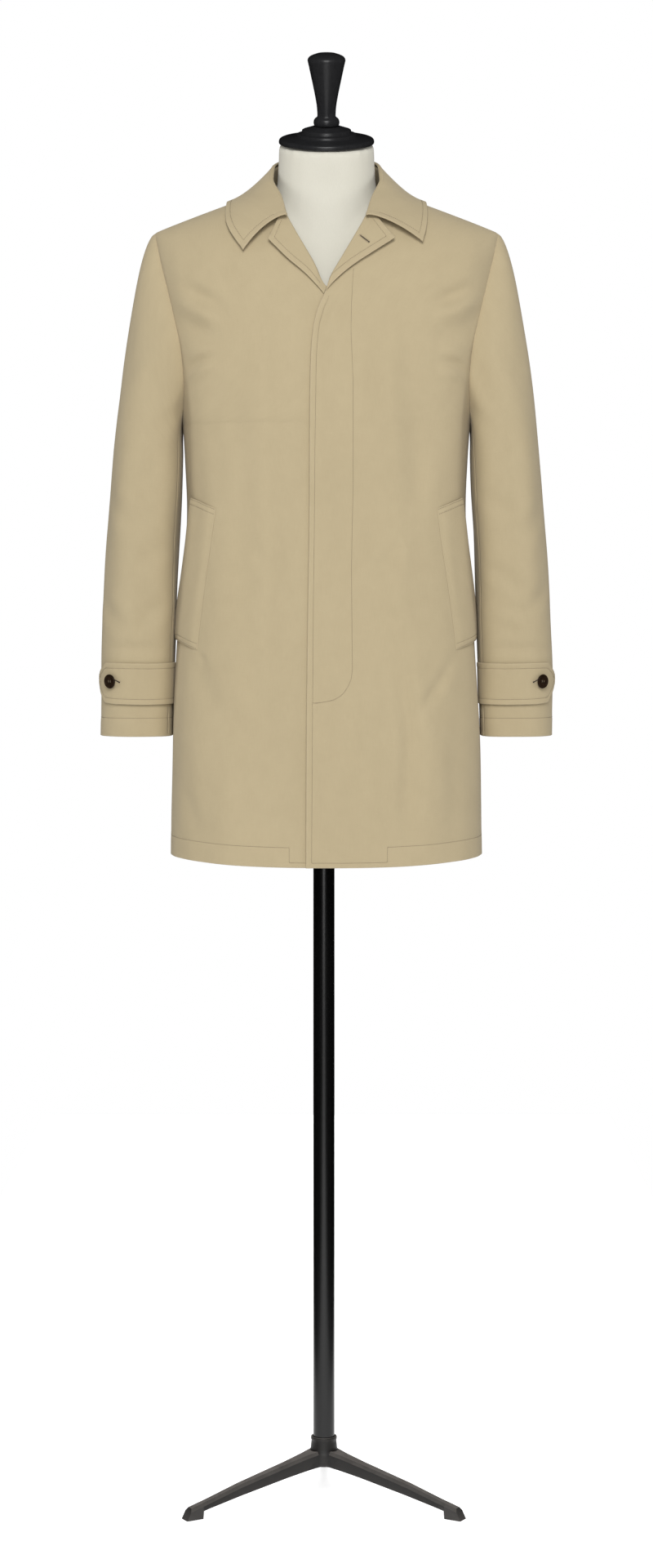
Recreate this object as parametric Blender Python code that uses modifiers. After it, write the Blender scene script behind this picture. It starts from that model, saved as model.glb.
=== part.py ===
"""Raincoat on a dress form stand, as closed solids in metres.

The front faces -Y, Z is up and the wearer's left is +X. Lengths across and deep are measured
from the coat's middle, which one empty holds so that the whole object is centred on the origin.
"""
import math

import bmesh
import bpy
import numpy as np
from mathutils import Vector

# Whole object
OBJECT_NAME = "raincoat_on_dress_form_stand"
CENTRE_Y = -0.0285

# Cloth
WALL = 0.0016
SEAM = 0.0003
SLEEVE_SEAM = 0.0005
LAP_GAP = 0.0011
SQUARE = 2.5

# Coat lengths
HEM_SIDE = 0.8690
HEM_DIP_FRONT = 0.0075
HEM_DIP_BACK = 0.0040
UNDERARM = 1.4400
SIDE_SEAM = 92.0
NECK_SIDE_X = 0.0780
NECK_SIDE_Z = 1.7588
SHOULDER_FALL = 0.3913
SHOULDER_BEND = 0.0400
SHOULDER_HALF = 0.2360
ROUND_FRONT = 2.2
ROUND_BACK = 2.6
ROUND_SHOULDER = 3.2

# Stand
FORM_GAP = 0.0005
FORM_BOTTOM = 0.9850
NECK_CLEAR = 0.0070
NECK_CLEAR_TO = 0.1200
NECK_TILT = 17.0
POLE_X = -0.0035
POLE_RADIUS = 0.0143
HUB_TOP = 0.0830
HUB_FLOOR = 0.0470
LEG_TURNS = (-60.0, 60.0, 180.0)


def smooth(keys, values, places):
    """Smooth values between the keys, without overshoot."""
    step = np.diff(keys)
    slope = np.diff(values) / step
    tangent = np.zeros(len(keys))
    tangent[0] = slope[0]
    tangent[-1] = slope[-1]
    for i in range(1, len(keys) - 1):
        if slope[i - 1] * slope[i] > 0:
            ahead = 2 * step[i] + step[i - 1]
            behind = step[i] + 2 * step[i - 1]
            tangent[i] = (ahead + behind) / (ahead / slope[i - 1] + behind / slope[i])
    places = np.clip(places, keys[0], keys[-1])
    index = np.clip(np.searchsorted(keys, places, side="right") - 1, 0, len(keys) - 2)
    t = (places - keys[index]) / step[index]
    start = values[index] * (2 * t**3 - 3 * t**2 + 1) + tangent[index] * step[index] * (t**3 - 2 * t**2 + t)
    end = values[index + 1] * (3 * t**2 - 2 * t**3) + tangent[index + 1] * step[index] * (t**3 - t**2)
    return start + end


class Table:
    """A short table with named columns, read smoothly along its first one."""

    def __init__(self, columns, *rows):
        self.columns = columns
        self.rows = np.array(rows, float)

    def at(self, column, place):
        values = self.rows[:, self.columns.index(column)]
        return smooth(self.rows[:, 0], values, np.asarray(place, float))


BODY = Table(
    ("height", "half_width", "front_depth", "back_depth"),
    (0.860, 0.2090, 0.1520, 0.1420),
    (1.000, 0.2075, 0.1515, 0.1410),
    (1.150, 0.2000, 0.1490, 0.1370),
    (1.330, 0.1870, 0.1450, 0.1240),
    (1.395, 0.1897, 0.1492, 0.1310),
    (1.440, 0.1930, 0.1500, 0.1320),
)
SHOULDER = Table(
    ("rise", "half_width"),
    (0.00, 0.1930),
    (0.27, 0.2019),
    (0.55, 0.2140),
    (0.80, 0.2260),
    (1.00, SHOULDER_HALF),
)
ARMHOLE = Table(
    ("rise", "front_angle", "back_angle"),
    (0.00, 92.0, 88.0),
    (0.03, 82.5, 81.5),
    (0.10, 74.8, 75.8),
    (0.25, 68.5, 70.2),
    (0.40, 67.2, 69.2),
    (0.55, 69.4, 70.2),
    (0.70, 72.2, 72.4),
    (0.86, 75.4, 75.4),
    (1.00, 76.9, 76.9),
)
# Largest soft folds: how far round from the middle front, how broad, between which heights and how deep
FOLDS = (
    dict(name="right hip", angle=-27.0, spread=9.0, low=0.82, high=1.30, depth=0.0035),
    dict(name="left hip", angle=30.0, spread=9.0, low=0.82, high=1.24, depth=0.0045),
    dict(name="left chest", angle=36.0, spread=10.0, low=1.28, high=1.60, depth=-0.0030),
    dict(name="right chest", angle=-36.0, spread=10.0, low=1.28, high=1.60, depth=-0.0030),
    dict(name="left skirt back", angle=152.0, spread=10.0, low=0.80, high=1.26, depth=0.0050),
    dict(name="right skirt back", angle=-150.0, spread=10.0, low=0.80, high=1.22, depth=0.0045),
)
# Edge of the lapping front, then its roll line up to the neck seam at the shoulder
LEFT_EDGE = Table(
    ("height", "across"),
    (0.8615, -0.0260),
    (1.1500, -0.0240),
    (1.4400, -0.0212),
    (1.5200, -0.0200),
    (1.5620, -0.0170),
    (1.5870, -0.0110),
    (1.6050, -0.0035),
    (1.6210, 0.0030),
    (1.6550, 0.0220),
    (1.6900, 0.0420),
    (1.7220, 0.0590),
    (1.7430, 0.0700),
    (NECK_SIDE_Z, NECK_SIDE_X),
)
RIGHT_EDGE = Table(
    ("height", "across"),
    (0.8615, -0.0450),
    (1.1500, -0.0450),
    (1.4400, -0.0450),
    (1.5450, -0.0450),
    (1.5850, -0.0350),
    (1.6050, -0.0180),
    (1.6210, 0.0030),
    (1.6550, 0.0220),
    (1.6900, 0.0420),
    (1.7220, 0.0590),
    (1.7430, 0.0700),
    (NECK_SIDE_Z, NECK_SIDE_X),
)
BACK_NECK = Table(
    ("across", "rise"),
    (-0.028, 0.907),
    (0.000, 0.895),
    (0.028, 0.907),
    (0.055, 0.940),
    (NECK_SIDE_X, 1.000),
)
SLEEVE = Table(
    ("height", "inner", "outer", "middle_y", "half_depth"),
    (1.026, 0.2100, 0.3050, 0.0160, 0.0500),
    (1.100, 0.2075, 0.3050, 0.0150, 0.0560),
    (1.180, 0.2040, 0.3025, 0.0120, 0.0630),
    (1.270, 0.2000, 0.2980, 0.0060, 0.0690),
    (1.356, 0.1950, 0.2910, 0.0020, 0.0730),
    (1.400, 0.1935, 0.2868, 0.0000, 0.0740),
)
# How square the sleeve turns in toward the body, in front and behind; 2 is a plain oval
SLEEVE_SQUARE_FRONT = 3.2
SLEEVE_SQUARE_BACK = 2.4
# How the sleeve leaves the armhole, as shares of the way down to its first whole ring
SLEEVE_START = Table(
    ("around", "out", "forward", "down"),
    (0.000, 0.10, 0.00, 1.00),
    (0.125, 0.34, 0.16, 0.85),
    (0.250, 0.38, 0.20, 0.68),
    (0.375, 0.34, 0.10, 0.40),
    (0.500, 0.24, 0.00, 0.16),
    (0.625, 0.34, -0.10, 0.40),
    (0.750, 0.38, -0.18, 0.68),
    (0.875, 0.34, -0.14, 0.85),
    (1.000, 0.10, 0.00, 1.00),
)
# Collar, from the front end of one side to the middle of the back: its roll, and its free edge by the
# place on the coat that it lies over, how far off, and how far it swells or sinks on the way
COLLAR = Table(
    ("along", "roll_x", "roll_y", "roll_z", "edge_x", "edge_rise", "edge_lift", "upper", "lower"),
    (0.00, 0.0536, -0.1090, 1.7157, 0.1250, 0.795, 0.0065, 0.0040, 0.0070),
    (0.12, 0.0632, -0.0740, 1.7440, 0.1300, 0.865, 0.0060, 0.0020, 0.0040),
    (0.28, 0.0758, -0.0350, 1.7715, 0.1325, 0.945, 0.0045, -0.0030, -0.0020),
    (0.45, 0.0740, 0.0020, 1.7910, 0.1310, 1.000, 0.0040, -0.0050, -0.0060),
    (0.65, 0.0660, 0.0420, 1.8020, 0.1100, 0.955, 0.0045, -0.0050, -0.0040),
    (0.82, 0.0400, 0.0680, 1.8090, 0.0650, 0.900, 0.0050, -0.0030, 0.0000),
    (1.00, 0.0000, 0.0780, 1.8110, 0.0000, 0.870, 0.0050, -0.0020, 0.0020),
    (1.18, -0.0400, 0.0680, 1.8090, -0.0650, 0.900, 0.0050, -0.0030, 0.0000),
)
COLLAR_SHOULDER = 0.45
RIGHT_TIP_IN = 0.0165
RIGHT_TIP_DOWN = 0.0520
FRONT_BOW = 0.020
STAND_FROM = 0.12
COLLAR_WALL = 0.0020
LEFT_LAPEL = Table(
    ("along", "edge_x", "edge_z", "lift"),
    (0.00, 0.0125, 1.6265, 0.0046),
    (0.30, 0.0320, 1.6438, 0.0050),
    (0.65, 0.0590, 1.6622, 0.0062),
    (1.00, 0.0881, 1.6810, 0.0075),
)
RIGHT_LAPEL = Table(
    ("along", "edge_x", "edge_z", "lift"),
    (0.00, 0.0050, 1.6110, 0.0030),
    (0.30, 0.0260, 1.6340, 0.0045),
    (0.65, 0.0505, 1.6550, 0.0060),
    (1.00, 0.0752, 1.6800, 0.0075),
)
LEFT_ROLL_LOW = 1.6300
RIGHT_ROLL_LOW = 1.6240
LAPEL_ROLL_HIGH = 1.7200
# Welt of the slanted pocket: front line sewn down, outer line free and standing a little off
WELT = Table(
    ("along", "front_x", "front_z", "free_x", "free_z", "free_lift"),
    (0.00, 0.1450, 1.3290, 0.1780, 1.3440, 0.0010),
    (0.25, 0.1515, 1.2825, 0.1815, 1.2970, 0.0030),
    (0.50, 0.1585, 1.2360, 0.1875, 1.2500, 0.0036),
    (0.75, 0.1650, 1.1895, 0.1950, 1.2030, 0.0026),
    (1.00, 0.1710, 1.1430, 0.2005, 1.1560, 0.0010),
)
# Cuff tab: round the sleeve from the inner seam, across the front, to its point outside
TAB = Table(
    ("around", "low", "high", "lift"),
    (0.055, 1.0700, 1.1240, 0.0000),
    (0.200, 1.0690, 1.1235, 0.0016),
    (0.330, 1.0698, 1.1240, 0.0010),
    (0.394, 1.0712, 1.1240, 0.0005),
    (0.480, 1.0972, 1.1068, 0.0000),
)
TAB_BUTTON_AROUND = 0.353
TAB_BUTTON_HEIGHT = 1.1000
BUTTON_REST = 0.0005

FORM = Table(
    ("height", "half_width", "front_depth", "back_depth"),
    (0.985, 0.1720, 0.1200, 0.1120),
    (1.120, 0.1740, 0.1180, 0.1150),
    (1.320, 0.1520, 0.1060, 0.0950),
    (1.400, 0.1580, 0.1180, 0.1040),
    (1.440, 0.1640, 0.1210, 0.1080),
)
FORM_SHOULDER = Table(
    ("rise", "half_width"),
    (0.00, 0.1640),
    (0.40, 0.1760),
    (1.00, 0.2020),
)
NECK = Table(
    ("height", "middle_y", "half_width", "half_depth", "tilt"),
    (1.660, 0.0000, 0.0980, 0.0880, 0.0),
    (1.720, -0.0040, 0.0790, 0.0770, 4.0),
    (1.765, -0.0100, 0.0665, 0.0690, 9.0),
    (1.800, -0.0170, 0.0645, 0.0665, 14.0),
    (1.8195, -0.0215, 0.0643, 0.0660, NECK_TILT),
)
CAP_PROFILE = Table(
    ("step", "radius", "rise"),
    (0, 0.0000, 0.0000),
    (1, 0.0625, 0.0000),
    (2, 0.0640, 0.0012),
    (3, 0.0640, 0.0050),
    (4, 0.0622, 0.0072),
    (5, 0.0420, 0.0098),
    (6, 0.0403, 0.0108),
    (7, 0.0403, 0.0132),
    (8, 0.0345, 0.0148),
    (9, 0.0330, 0.0160),
    (10, 0.0330, 0.0188),
    (11, 0.0180, 0.0234),
    (12, 0.0000, 0.0234),
)
FINIAL_PROFILE = Table(
    ("step", "radius", "rise"),
    (0, 0.0000, 0.0000),
    (1, 0.0140, 0.0000),
    (2, 0.0170, 0.0025),
    (3, 0.0174, 0.0060),
    (4, 0.0160, 0.0098),
    (5, 0.0124, 0.0132),
    (6, 0.0135, 0.0300),
    (7, 0.0185, 0.0560),
    (8, 0.0236, 0.0800),
    (9, 0.0253, 0.0872),
    (10, 0.0222, 0.0932),
    (11, 0.0125, 0.0968),
    (12, 0.0000, 0.0978),
)
BUTTON_PROFILE = Table(
    ("step", "radius", "rise"),
    (0, 0.0000, 0.0000),
    (1, 0.0075, 0.0000),
    (2, 0.0095, 0.0012),
    (3, 0.0095, 0.0022),
    (4, 0.0084, 0.0032),
    (5, 0.0066, 0.0027),
    (6, 0.0000, 0.0022),
)
HUB_PROFILE = Table(
    ("step", "radius", "rise"),
    (0, 0.0000, 0.0446),
    (1, 0.0150, 0.0446),
    (2, 0.0205, 0.0464),
    (3, 0.0214, 0.0490),
    (4, 0.0214, 0.0590),
    (5, 0.0190, 0.0645),
    (6, 0.0179, 0.0664),
    (7, 0.0168, HUB_TOP - 0.0052),
    (8, 0.0174, HUB_TOP - 0.0040),
    (9, 0.0174, HUB_TOP - 0.0007),
    (10, 0.0167, HUB_TOP),
    (11, POLE_RADIUS + SEAM, HUB_TOP),
    (12, POLE_RADIUS + SEAM, HUB_FLOOR),
    (13, 0.0000, HUB_FLOOR),
)
LEG = Table(
    ("reach", "top", "bottom", "half_width", "toe"),
    (0.0162, 0.0652, 0.0452, 0.0138, 0.0000),
    (0.0320, 0.0612, 0.0420, 0.0112, 0.0000),
    (0.0600, 0.0540, 0.0366, 0.0094, 0.0000),
    (0.1300, 0.0365, 0.0226, 0.0082, 0.0000),
    (0.1780, 0.0222, 0.0122, 0.0078, 0.0000),
    (0.1866, 0.0198, 0.0101, 0.0078, 0.0000),
    (0.1876, 0.0195, 0.0000, 0.0082, 0.0000),
    (0.2035, 0.0150, 0.0000, 0.0082, 0.0080),
)


def ridge(across):
    """Height of the shoulder line."""
    way_out = np.hypot(across, SHOULDER_BEND) - math.hypot(NECK_SIDE_X, SHOULDER_BEND)
    return NECK_SIDE_Z - SHOULDER_FALL * way_out


def roundness(across, faces_front):
    """How squarely front or back turns over into the shoulder line, more so toward the arms."""
    middle = np.where(faces_front, ROUND_FRONT, ROUND_BACK)
    return middle + (ROUND_SHOULDER - middle) * np.clip(np.abs(across), 0, 1) ** 2


def hem(angle):
    """Height of the hem round the coat."""
    facing = np.cos(angle)
    return HEM_SIDE - np.where(facing > 0, HEM_DIP_FRONT, HEM_DIP_BACK) * facing**2


def around(angle):
    """Shares of half width and depth at an angle from the middle front."""
    sine = np.sin(angle)
    across = np.sign(sine) * np.abs(sine) ** (2 / SQUARE)
    deep = np.abs(np.cos(angle)) ** (2 / SQUARE)
    return across, deep


def coat_surface(angle, level):
    """Outer cloth of the body: level 0 is the hem, 1 the underarm and 2 the shoulder line."""
    angle, level = np.broadcast_arrays(np.asarray(angle, float), np.asarray(level, float))
    low = np.clip(level, 0, 1)
    rise = np.clip(level - 1, 0, 1)
    across, deep = around(angle)
    bottom = hem(angle)
    height = bottom + (UNDERARM - bottom) * low
    half_width = np.where(level < 1, BODY.at("half_width", height), SHOULDER.at("half_width", rise))
    z = height + (ridge(SHOULDER_HALF * across) - UNDERARM) * rise
    faces_front = np.cos(angle) > 0
    power = roundness(across, faces_front)
    over = np.clip(1 - rise**power, 0, 1) ** (1 / power)
    depth = np.where(faces_front, -BODY.at("front_depth", height), BODY.at("back_depth", height))
    for fold in FOLDS:
        turn = np.degrees(angle) - fold["angle"]
        turn = (turn + 180) % 360 - 180
        window = np.clip((z - fold["low"]) / (fold["high"] - fold["low"]), 0, 1)
        share = np.exp(-((turn / fold["spread"]) ** 2)) * np.sin(np.pi * window) ** 2
        depth = depth + np.sign(depth) * fold["depth"] * share
    return np.stack((half_width * across, depth * deep * over, z), axis=-1)


def outward(surface, first, second, step=2e-4):
    """Unit normals of a surface of two numbers."""
    ahead = surface(first + step, second) - surface(first - step, second)
    up = surface(first, np.minimum(second + step, 2.0)) - surface(first, second - step)
    normal = np.cross(ahead, up)
    return normal / np.linalg.norm(normal, axis=-1, keepdims=True)


def coat_place(x, z):
    """Angle and level of the front's point at a place across and a height."""
    x = np.asarray(x, float)
    z = np.asarray(z, float)
    rise = np.clip((z - UNDERARM) / (NECK_SIDE_Z - UNDERARM), 0, 1)
    for _ in range(40):
        half_width = np.where(z < UNDERARM, BODY.at("half_width", z), SHOULDER.at("half_width", rise))
        share = np.clip(x / half_width, -1, 1)
        rise = np.clip((z - UNDERARM) / (ridge(SHOULDER_HALF * share) - UNDERARM), 0, 1)
    angle = np.arcsin(np.sign(share) * np.abs(share) ** (SQUARE / 2))
    low = np.clip((z - hem(angle)) / (UNDERARM - hem(angle)), 0, 1)
    return angle, low + rise


def front_edge(table, levels):
    """Angle of a front's inner edge at each level."""
    angle, level = coat_place(table.rows[:, 1], table.rows[:, 0])
    level[0] = 0.0
    level[-1] = 2.0
    return smooth(level, angle, levels)


def shade_smooth(thing):
    for face in thing.data.polygons:
        face.use_smooth = True


def paint(thing, colour, roughness, metallic=0.0):
    """A plain material of the object's own."""
    material = bpy.data.materials.new(thing.name + "_material")
    material.use_nodes = True
    shader = material.node_tree.nodes["Principled BSDF"]
    shader.inputs["Base Color"].default_value = (*colour, 1.0)
    shader.inputs["Roughness"].default_value = roughness
    shader.inputs["Metallic"].default_value = metallic
    thing.data.materials.append(material)


def add_mesh(name, points, faces, group):
    mesh = bpy.data.meshes.new(name)
    mesh.from_pydata([tuple(p) for p in points], [], faces)
    mesh.update()
    thing = bpy.data.objects.new(name, mesh)
    group.objects.link(thing)
    return thing


def grid_faces(rows, columns, first, flip):
    faces = []
    for i in range(rows - 1):
        for j in range(columns - 1):
            a = first + i * columns + j
            face = (a, a + 1, a + columns + 1, a + columns)
            faces.append(face[::-1] if flip else face)
    return faces


def cloth(name, outer, inner, flip=False):
    """A closed wall between two grids of points, rows going up and columns going round."""
    rows, columns = outer.shape[:2]
    count = rows * columns
    points = np.concatenate((outer.reshape(-1, 3), inner.reshape(-1, 3)))
    faces = grid_faces(rows, columns, 0, flip) + grid_faces(rows, columns, count, not flip)
    rim = [j for j in range(columns)]
    rim += [i * columns + columns - 1 for i in range(1, rows)]
    rim += [(rows - 1) * columns + j for j in range(columns - 2, -1, -1)]
    rim += [i * columns for i in range(rows - 2, 0, -1)]
    for a, b in zip(rim, rim[1:] + rim[:1]):
        face = (b, a, a + count, b + count)
        faces.append(face[::-1] if flip else face)
    thing = add_mesh(name, points, faces, coat_group)
    paint(thing, COAT_COLOUR, 0.85)
    return thing


def pull_in(grid, sides, distance=SEAM / 2, square=True):
    """Draw edges of a grid back to leave a seam's gap, square to the edge or along the grid."""
    moved = grid.copy()
    ends = {
        "bottom": (np.s_[0, :], np.s_[1, :]),
        "top": (np.s_[-1, :], np.s_[-2, :]),
        "start": (np.s_[:, 0], np.s_[:, 1]),
        "end": (np.s_[:, -1], np.s_[:, -2]),
    }
    for side in sides:
        edge, inside = ends[side]
        along = np.gradient(grid[edge], axis=0)
        along /= np.linalg.norm(along, axis=-1, keepdims=True)
        way = grid[inside] - grid[edge]
        if square:
            way = way - along * np.sum(way * along, axis=-1, keepdims=True)
        moved[edge] += way / np.linalg.norm(way, axis=-1, keepdims=True) * distance
    return moved


def mirrored(grid):
    return grid * np.array((-1.0, 1.0, 1.0))


def grid_normals(grid):
    """Unit normals of a grid whose rows go up and columns go round."""
    normal = np.cross(np.gradient(grid, axis=1), np.gradient(grid, axis=0))
    return normal / np.linalg.norm(normal, axis=-1, keepdims=True)


# Rows of the body panels. Those above the underarm are also the columns of the sleeves.
LOW_LEVELS = np.linspace(0.0, 1.0, 9)
LOW_RISES = (0.0, 0.03, 0.09, 0.18, 0.30, 0.41, 0.49)
HIGH_RISES = (0.537, 0.62, 0.73, 0.84, 0.92, 0.972, 0.994, 1.0)
RISES = np.array(LOW_RISES + HIGH_RISES)
BODY_LEVELS = np.concatenate((LOW_LEVELS[:-1], 1 + RISES))
FRONT_SHARES = np.array((0.0, 0.07, 0.15, 0.25, 0.37, 0.50, 0.64, 0.78, 0.90, 1.0))
FRONT_SEAM_RISE = 2
BACK_SEAM_RISE = 6


def armhole_angle(column, rise):
    return np.radians(ARMHOLE.at(column, rise))


def armhole_round():
    """Angle, level and place round the left armhole: up the front, over the shoulder, down the back."""
    front = armhole_angle("front_angle", RISES)
    back = np.pi - armhole_angle("back_angle", RISES)
    angle = np.concatenate((front, back[-2::-1]))
    level = 1 + np.concatenate((RISES, RISES[-2::-1]))
    way = np.linalg.norm(np.diff(coat_surface(angle, level), axis=0), axis=-1)
    top = len(RISES) - 1
    climb = np.concatenate(((0.0,), np.cumsum(way[:top]))) / np.sum(way[:top])
    drop = np.cumsum(way[top:]) / np.sum(way[top:])
    return angle, level, np.concatenate((climb / 2, 0.5 + drop / 2))


def sleeve_ring(place, height):
    """A whole ring of the left sleeve; place 0 is next to the body and 0.25 the front."""
    turn = 2 * np.pi * place
    inner = SLEEVE.at("inner", height)
    outer = SLEEVE.at("outer", height)
    square = np.where(place % 1.0 < 0.25, SLEEVE_SQUARE_FRONT, 2.0)
    square = np.where(place % 1.0 > 0.75, SLEEVE_SQUARE_BACK, square)
    grow = (np.abs(np.cos(turn)) ** square + np.abs(np.sin(turn)) ** square) ** (-1 / square)
    x = (inner + outer) / 2 - (outer - inner) / 2 * np.cos(turn) * grow
    y = SLEEVE.at("middle_y", height) - SLEEVE.at("half_depth", height) * np.sin(turn) * grow
    return np.stack((x, y, np.broadcast_to(height, x.shape)), axis=-1)


def sleeve_surface(place, level):
    """Outer cloth of the left sleeve: level 0 is the cuff, 1 the first whole ring and 2 the armhole."""
    place, level = np.broadcast_arrays(np.asarray(place, float), np.asarray(level, float))
    cuff = SLEEVE.rows[0, 0]
    whole = SLEEVE.rows[-1, 0]
    ring = sleeve_ring(place, cuff + (whole - cuff) * np.clip(level, 0, 1))
    angles, levels, places = armhole_round()
    seam = np.stack([np.interp(place % 1.0, places, c) for c in coat_surface(angles, levels).T], axis=-1)
    first = sleeve_ring(place, np.full(place.shape, whole))
    below = sleeve_ring(place, np.full(place.shape, whole - 0.01))
    length = np.linalg.norm(first - seam, axis=-1, keepdims=True)
    start = np.stack((
        SLEEVE_START.at("out", place % 1.0),
        -SLEEVE_START.at("forward", place % 1.0),
        -SLEEVE_START.at("down", place % 1.0),
    ), axis=-1) * length
    end = (below - first) / 0.01 * length
    t = np.clip(2 - level, 0, 1)[..., None]
    cap = seam * (2 * t**3 - 3 * t**2 + 1) + start * (t**3 - 2 * t**2 + t)
    cap = cap + first * (3 * t**2 - 2 * t**3) + end * (t**3 - t**2)
    return np.where((level > 1)[..., None], cap, ring)


def armhole_mitre():
    """Shared direction of wall at the armhole, half way between the body's and the sleeve's normals."""
    angles, levels, places = armhole_round()
    body = outward(coat_surface, angles, levels)
    sleeve = outward(sleeve_surface, places, np.full(places.shape, 1.99))
    both = body + sleeve
    return both / np.linalg.norm(both, axis=-1, keepdims=True)


def lap_lift(across):
    """How far the lapping front stands out to clear the one below it."""
    ease = np.clip((0.130 - across) / 0.050, 0, 1)
    return (WALL + LAP_GAP) * ease * ease * (3 - 2 * ease)


def front_grid(edge, side):
    """Points and normals of one front, from its edge or roll line round to the side seam and armhole."""
    start = front_edge(edge, BODY_LEVELS)
    rise = np.clip(BODY_LEVELS - 1, 0, 1)
    seam = np.where(BODY_LEVELS < 1, np.radians(SIDE_SEAM), armhole_angle("front_angle", rise))
    angles = start[:, None] + (seam - start)[:, None] * FRONT_SHARES
    levels = np.broadcast_to(BODY_LEVELS[:, None], angles.shape)
    points = coat_surface(side * angles, levels)
    normals = outward(coat_surface, side * angles, levels)
    if side > 0:
        points = points + normals * lap_lift(points[..., 0])[..., None]
    return points, normals


def make_front(name, edge, side):
    points, normals = front_grid(edge, side)
    arm_rows = BODY_LEVELS >= 1
    normals[arm_rows, -1] = armhole_mitre()[:len(RISES)] * np.array((side, 1.0, 1.0))
    outer = pull_in(points, ("end", "top"))
    inner = pull_in(points - normals * WALL, ("end", "top"))
    return cloth(name, outer, inner, flip=side < 0)


def make_back(name):
    """The back in one piece; its top row runs along both shoulders and the neck."""
    shares = np.array((0.0, 0.07, 0.14, 0.21, 0.36, 0.52, 0.68, 0.84, 1.0))
    neck_side = SHOULDER_HALF * around(armhole_angle("back_angle", 1.0) * shares)[0]
    neck_side[3] = NECK_SIDE_X
    top = np.where(neck_side < NECK_SIDE_X, BACK_NECK.at("rise", neck_side), 1.0)
    level = 1 + (BODY_LEVELS[:, None] - 1) * np.where(BODY_LEVELS[:, None] > 1, top, 1.0)
    rise = np.clip(BODY_LEVELS - 1, 0, 1)
    seam = np.where(BODY_LEVELS < 1, np.radians(180 - SIDE_SEAM), armhole_angle("back_angle", rise))
    from_middle = seam[:, None] * shares
    angles = np.concatenate((np.pi - from_middle[:, ::-1], np.pi + from_middle[:, 1:]), axis=1)
    levels = np.concatenate((level[:, ::-1], level[:, 1:]), axis=1)
    points = coat_surface(angles, levels)
    normals = outward(coat_surface, angles, levels)
    arm_rows = BODY_LEVELS >= 1
    mitre = armhole_mitre()[:len(RISES) - 2:-1]
    normals[arm_rows, 0] = mitre
    normals[arm_rows, -1] = mirrored(mitre)
    outer = pull_in(points, ("start", "end", "top"))
    inner = pull_in(points - normals * WALL, ("start", "end", "top"))
    return cloth(name, outer, inner)


SLEEVE_LEVELS = np.array((0.0, 0.17, 0.34, 0.51, 0.68, 0.84, 1.0, 1.28, 1.52, 1.72, 1.87, 1.95, 2.0))


def make_sleeve(part, columns, side):
    """One piece of a two-piece sleeve, over the given columns of the ring."""
    _, _, places = armhole_round()
    ring = np.array([places[i % (len(places) - 1)] + i // (len(places) - 1) for i in columns])
    place = np.broadcast_to(ring, (len(SLEEVE_LEVELS), len(ring)))
    level = np.broadcast_to(SLEEVE_LEVELS[:, None], place.shape)
    points = sleeve_surface(place, level)
    normals = outward(sleeve_surface, place, np.minimum(level, 1.99))
    normals[-1] = armhole_mitre()[[i % (len(places) - 1) for i in columns]]
    outer = pull_in(pull_in(points, ("top",)), ("start", "end"), SLEEVE_SEAM, square=False)
    inner = pull_in(pull_in(points - normals * WALL, ("top",)), ("start", "end"), SLEEVE_SEAM, square=False)
    if side < 0:
        outer = mirrored(outer)
        inner = mirrored(inner)
    return cloth(part, outer, inner, flip=side < 0)


def neck_seam(along):
    """Edge of the neck from the front end of the collar to the middle of the back."""
    share = COLLAR_SHOULDER
    height = 1.7220 + (NECK_SIDE_Z - 1.7220) * np.clip(along / share, 0, 1)
    front_angle, front_level = coat_place(LEFT_EDGE.at("across", height), height)
    across = NECK_SIDE_X * np.clip((1 - along) / (1 - share), 0, 1)
    rise = BACK_NECK.at("rise", across)
    back_share = across / SHOULDER.at("half_width", rise)
    back_angle = np.pi - np.arcsin(back_share ** (SQUARE / 2))
    front = coat_surface(front_angle, front_level)
    back = coat_surface(back_angle, 1 + rise)
    return np.where((along < share)[..., None], front, back)


def collar_side(place):
    """Way along half the collar and which side it is on; place runs left front, back, right front."""
    return np.where(place <= 1, place, 2 - place), np.where(place <= 1, 1.0, -1.0)


def collar_roll(place):
    along, side = collar_side(place)
    across, deep, height = (COLLAR.at("roll_" + axis, along) for axis in "xyz")
    return np.stack((side * across, deep, height), axis=-1)


def collar_edge(place):
    """Free edge of the collar, a little off the coat below it, and the coat's normals there."""
    along, side = collar_side(place)
    tip = np.where(side < 0, np.clip(1 - along / 0.2, 0, 1) ** 2, 0.0)
    rise = COLLAR.at("edge_rise", along) - RIGHT_TIP_DOWN * tip
    share = (COLLAR.at("edge_x", along) - RIGHT_TIP_IN * tip) / SHOULDER.at("half_width", rise)
    angle = np.arcsin(np.clip(share, 0, 1) ** (SQUARE / 2))
    angle = side * np.where(along < COLLAR_SHOULDER, angle, np.pi - angle)
    normal = outward(coat_surface, angle, 1 + rise)
    return coat_surface(angle, 1 + rise) + normal * COLLAR.at("edge_lift", along)[..., None], normal


COLLAR_SHARES = np.concatenate((np.linspace(0, 1, 11), 1 + np.linspace(0, 1, 11)[1:])) / 2


def collar_fall(place, t):
    """Points of the fall along the collar, from the roll at 0 to the free edge at 1."""
    along, _ = collar_side(place)
    roll = collar_roll(place)
    edge, normal = collar_edge(place)
    over = roll + (edge - roll) * 0.33 + normal * COLLAR.at("upper", along)[:, None]
    hang = roll + (edge - roll) * 0.72 + normal * COLLAR.at("lower", along)[:, None]
    upper = roll * (1 - t) ** 3 + over * 3 * t * (1 - t) ** 2
    return upper + hang * 3 * t**2 * (1 - t) + edge * t**3


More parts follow.
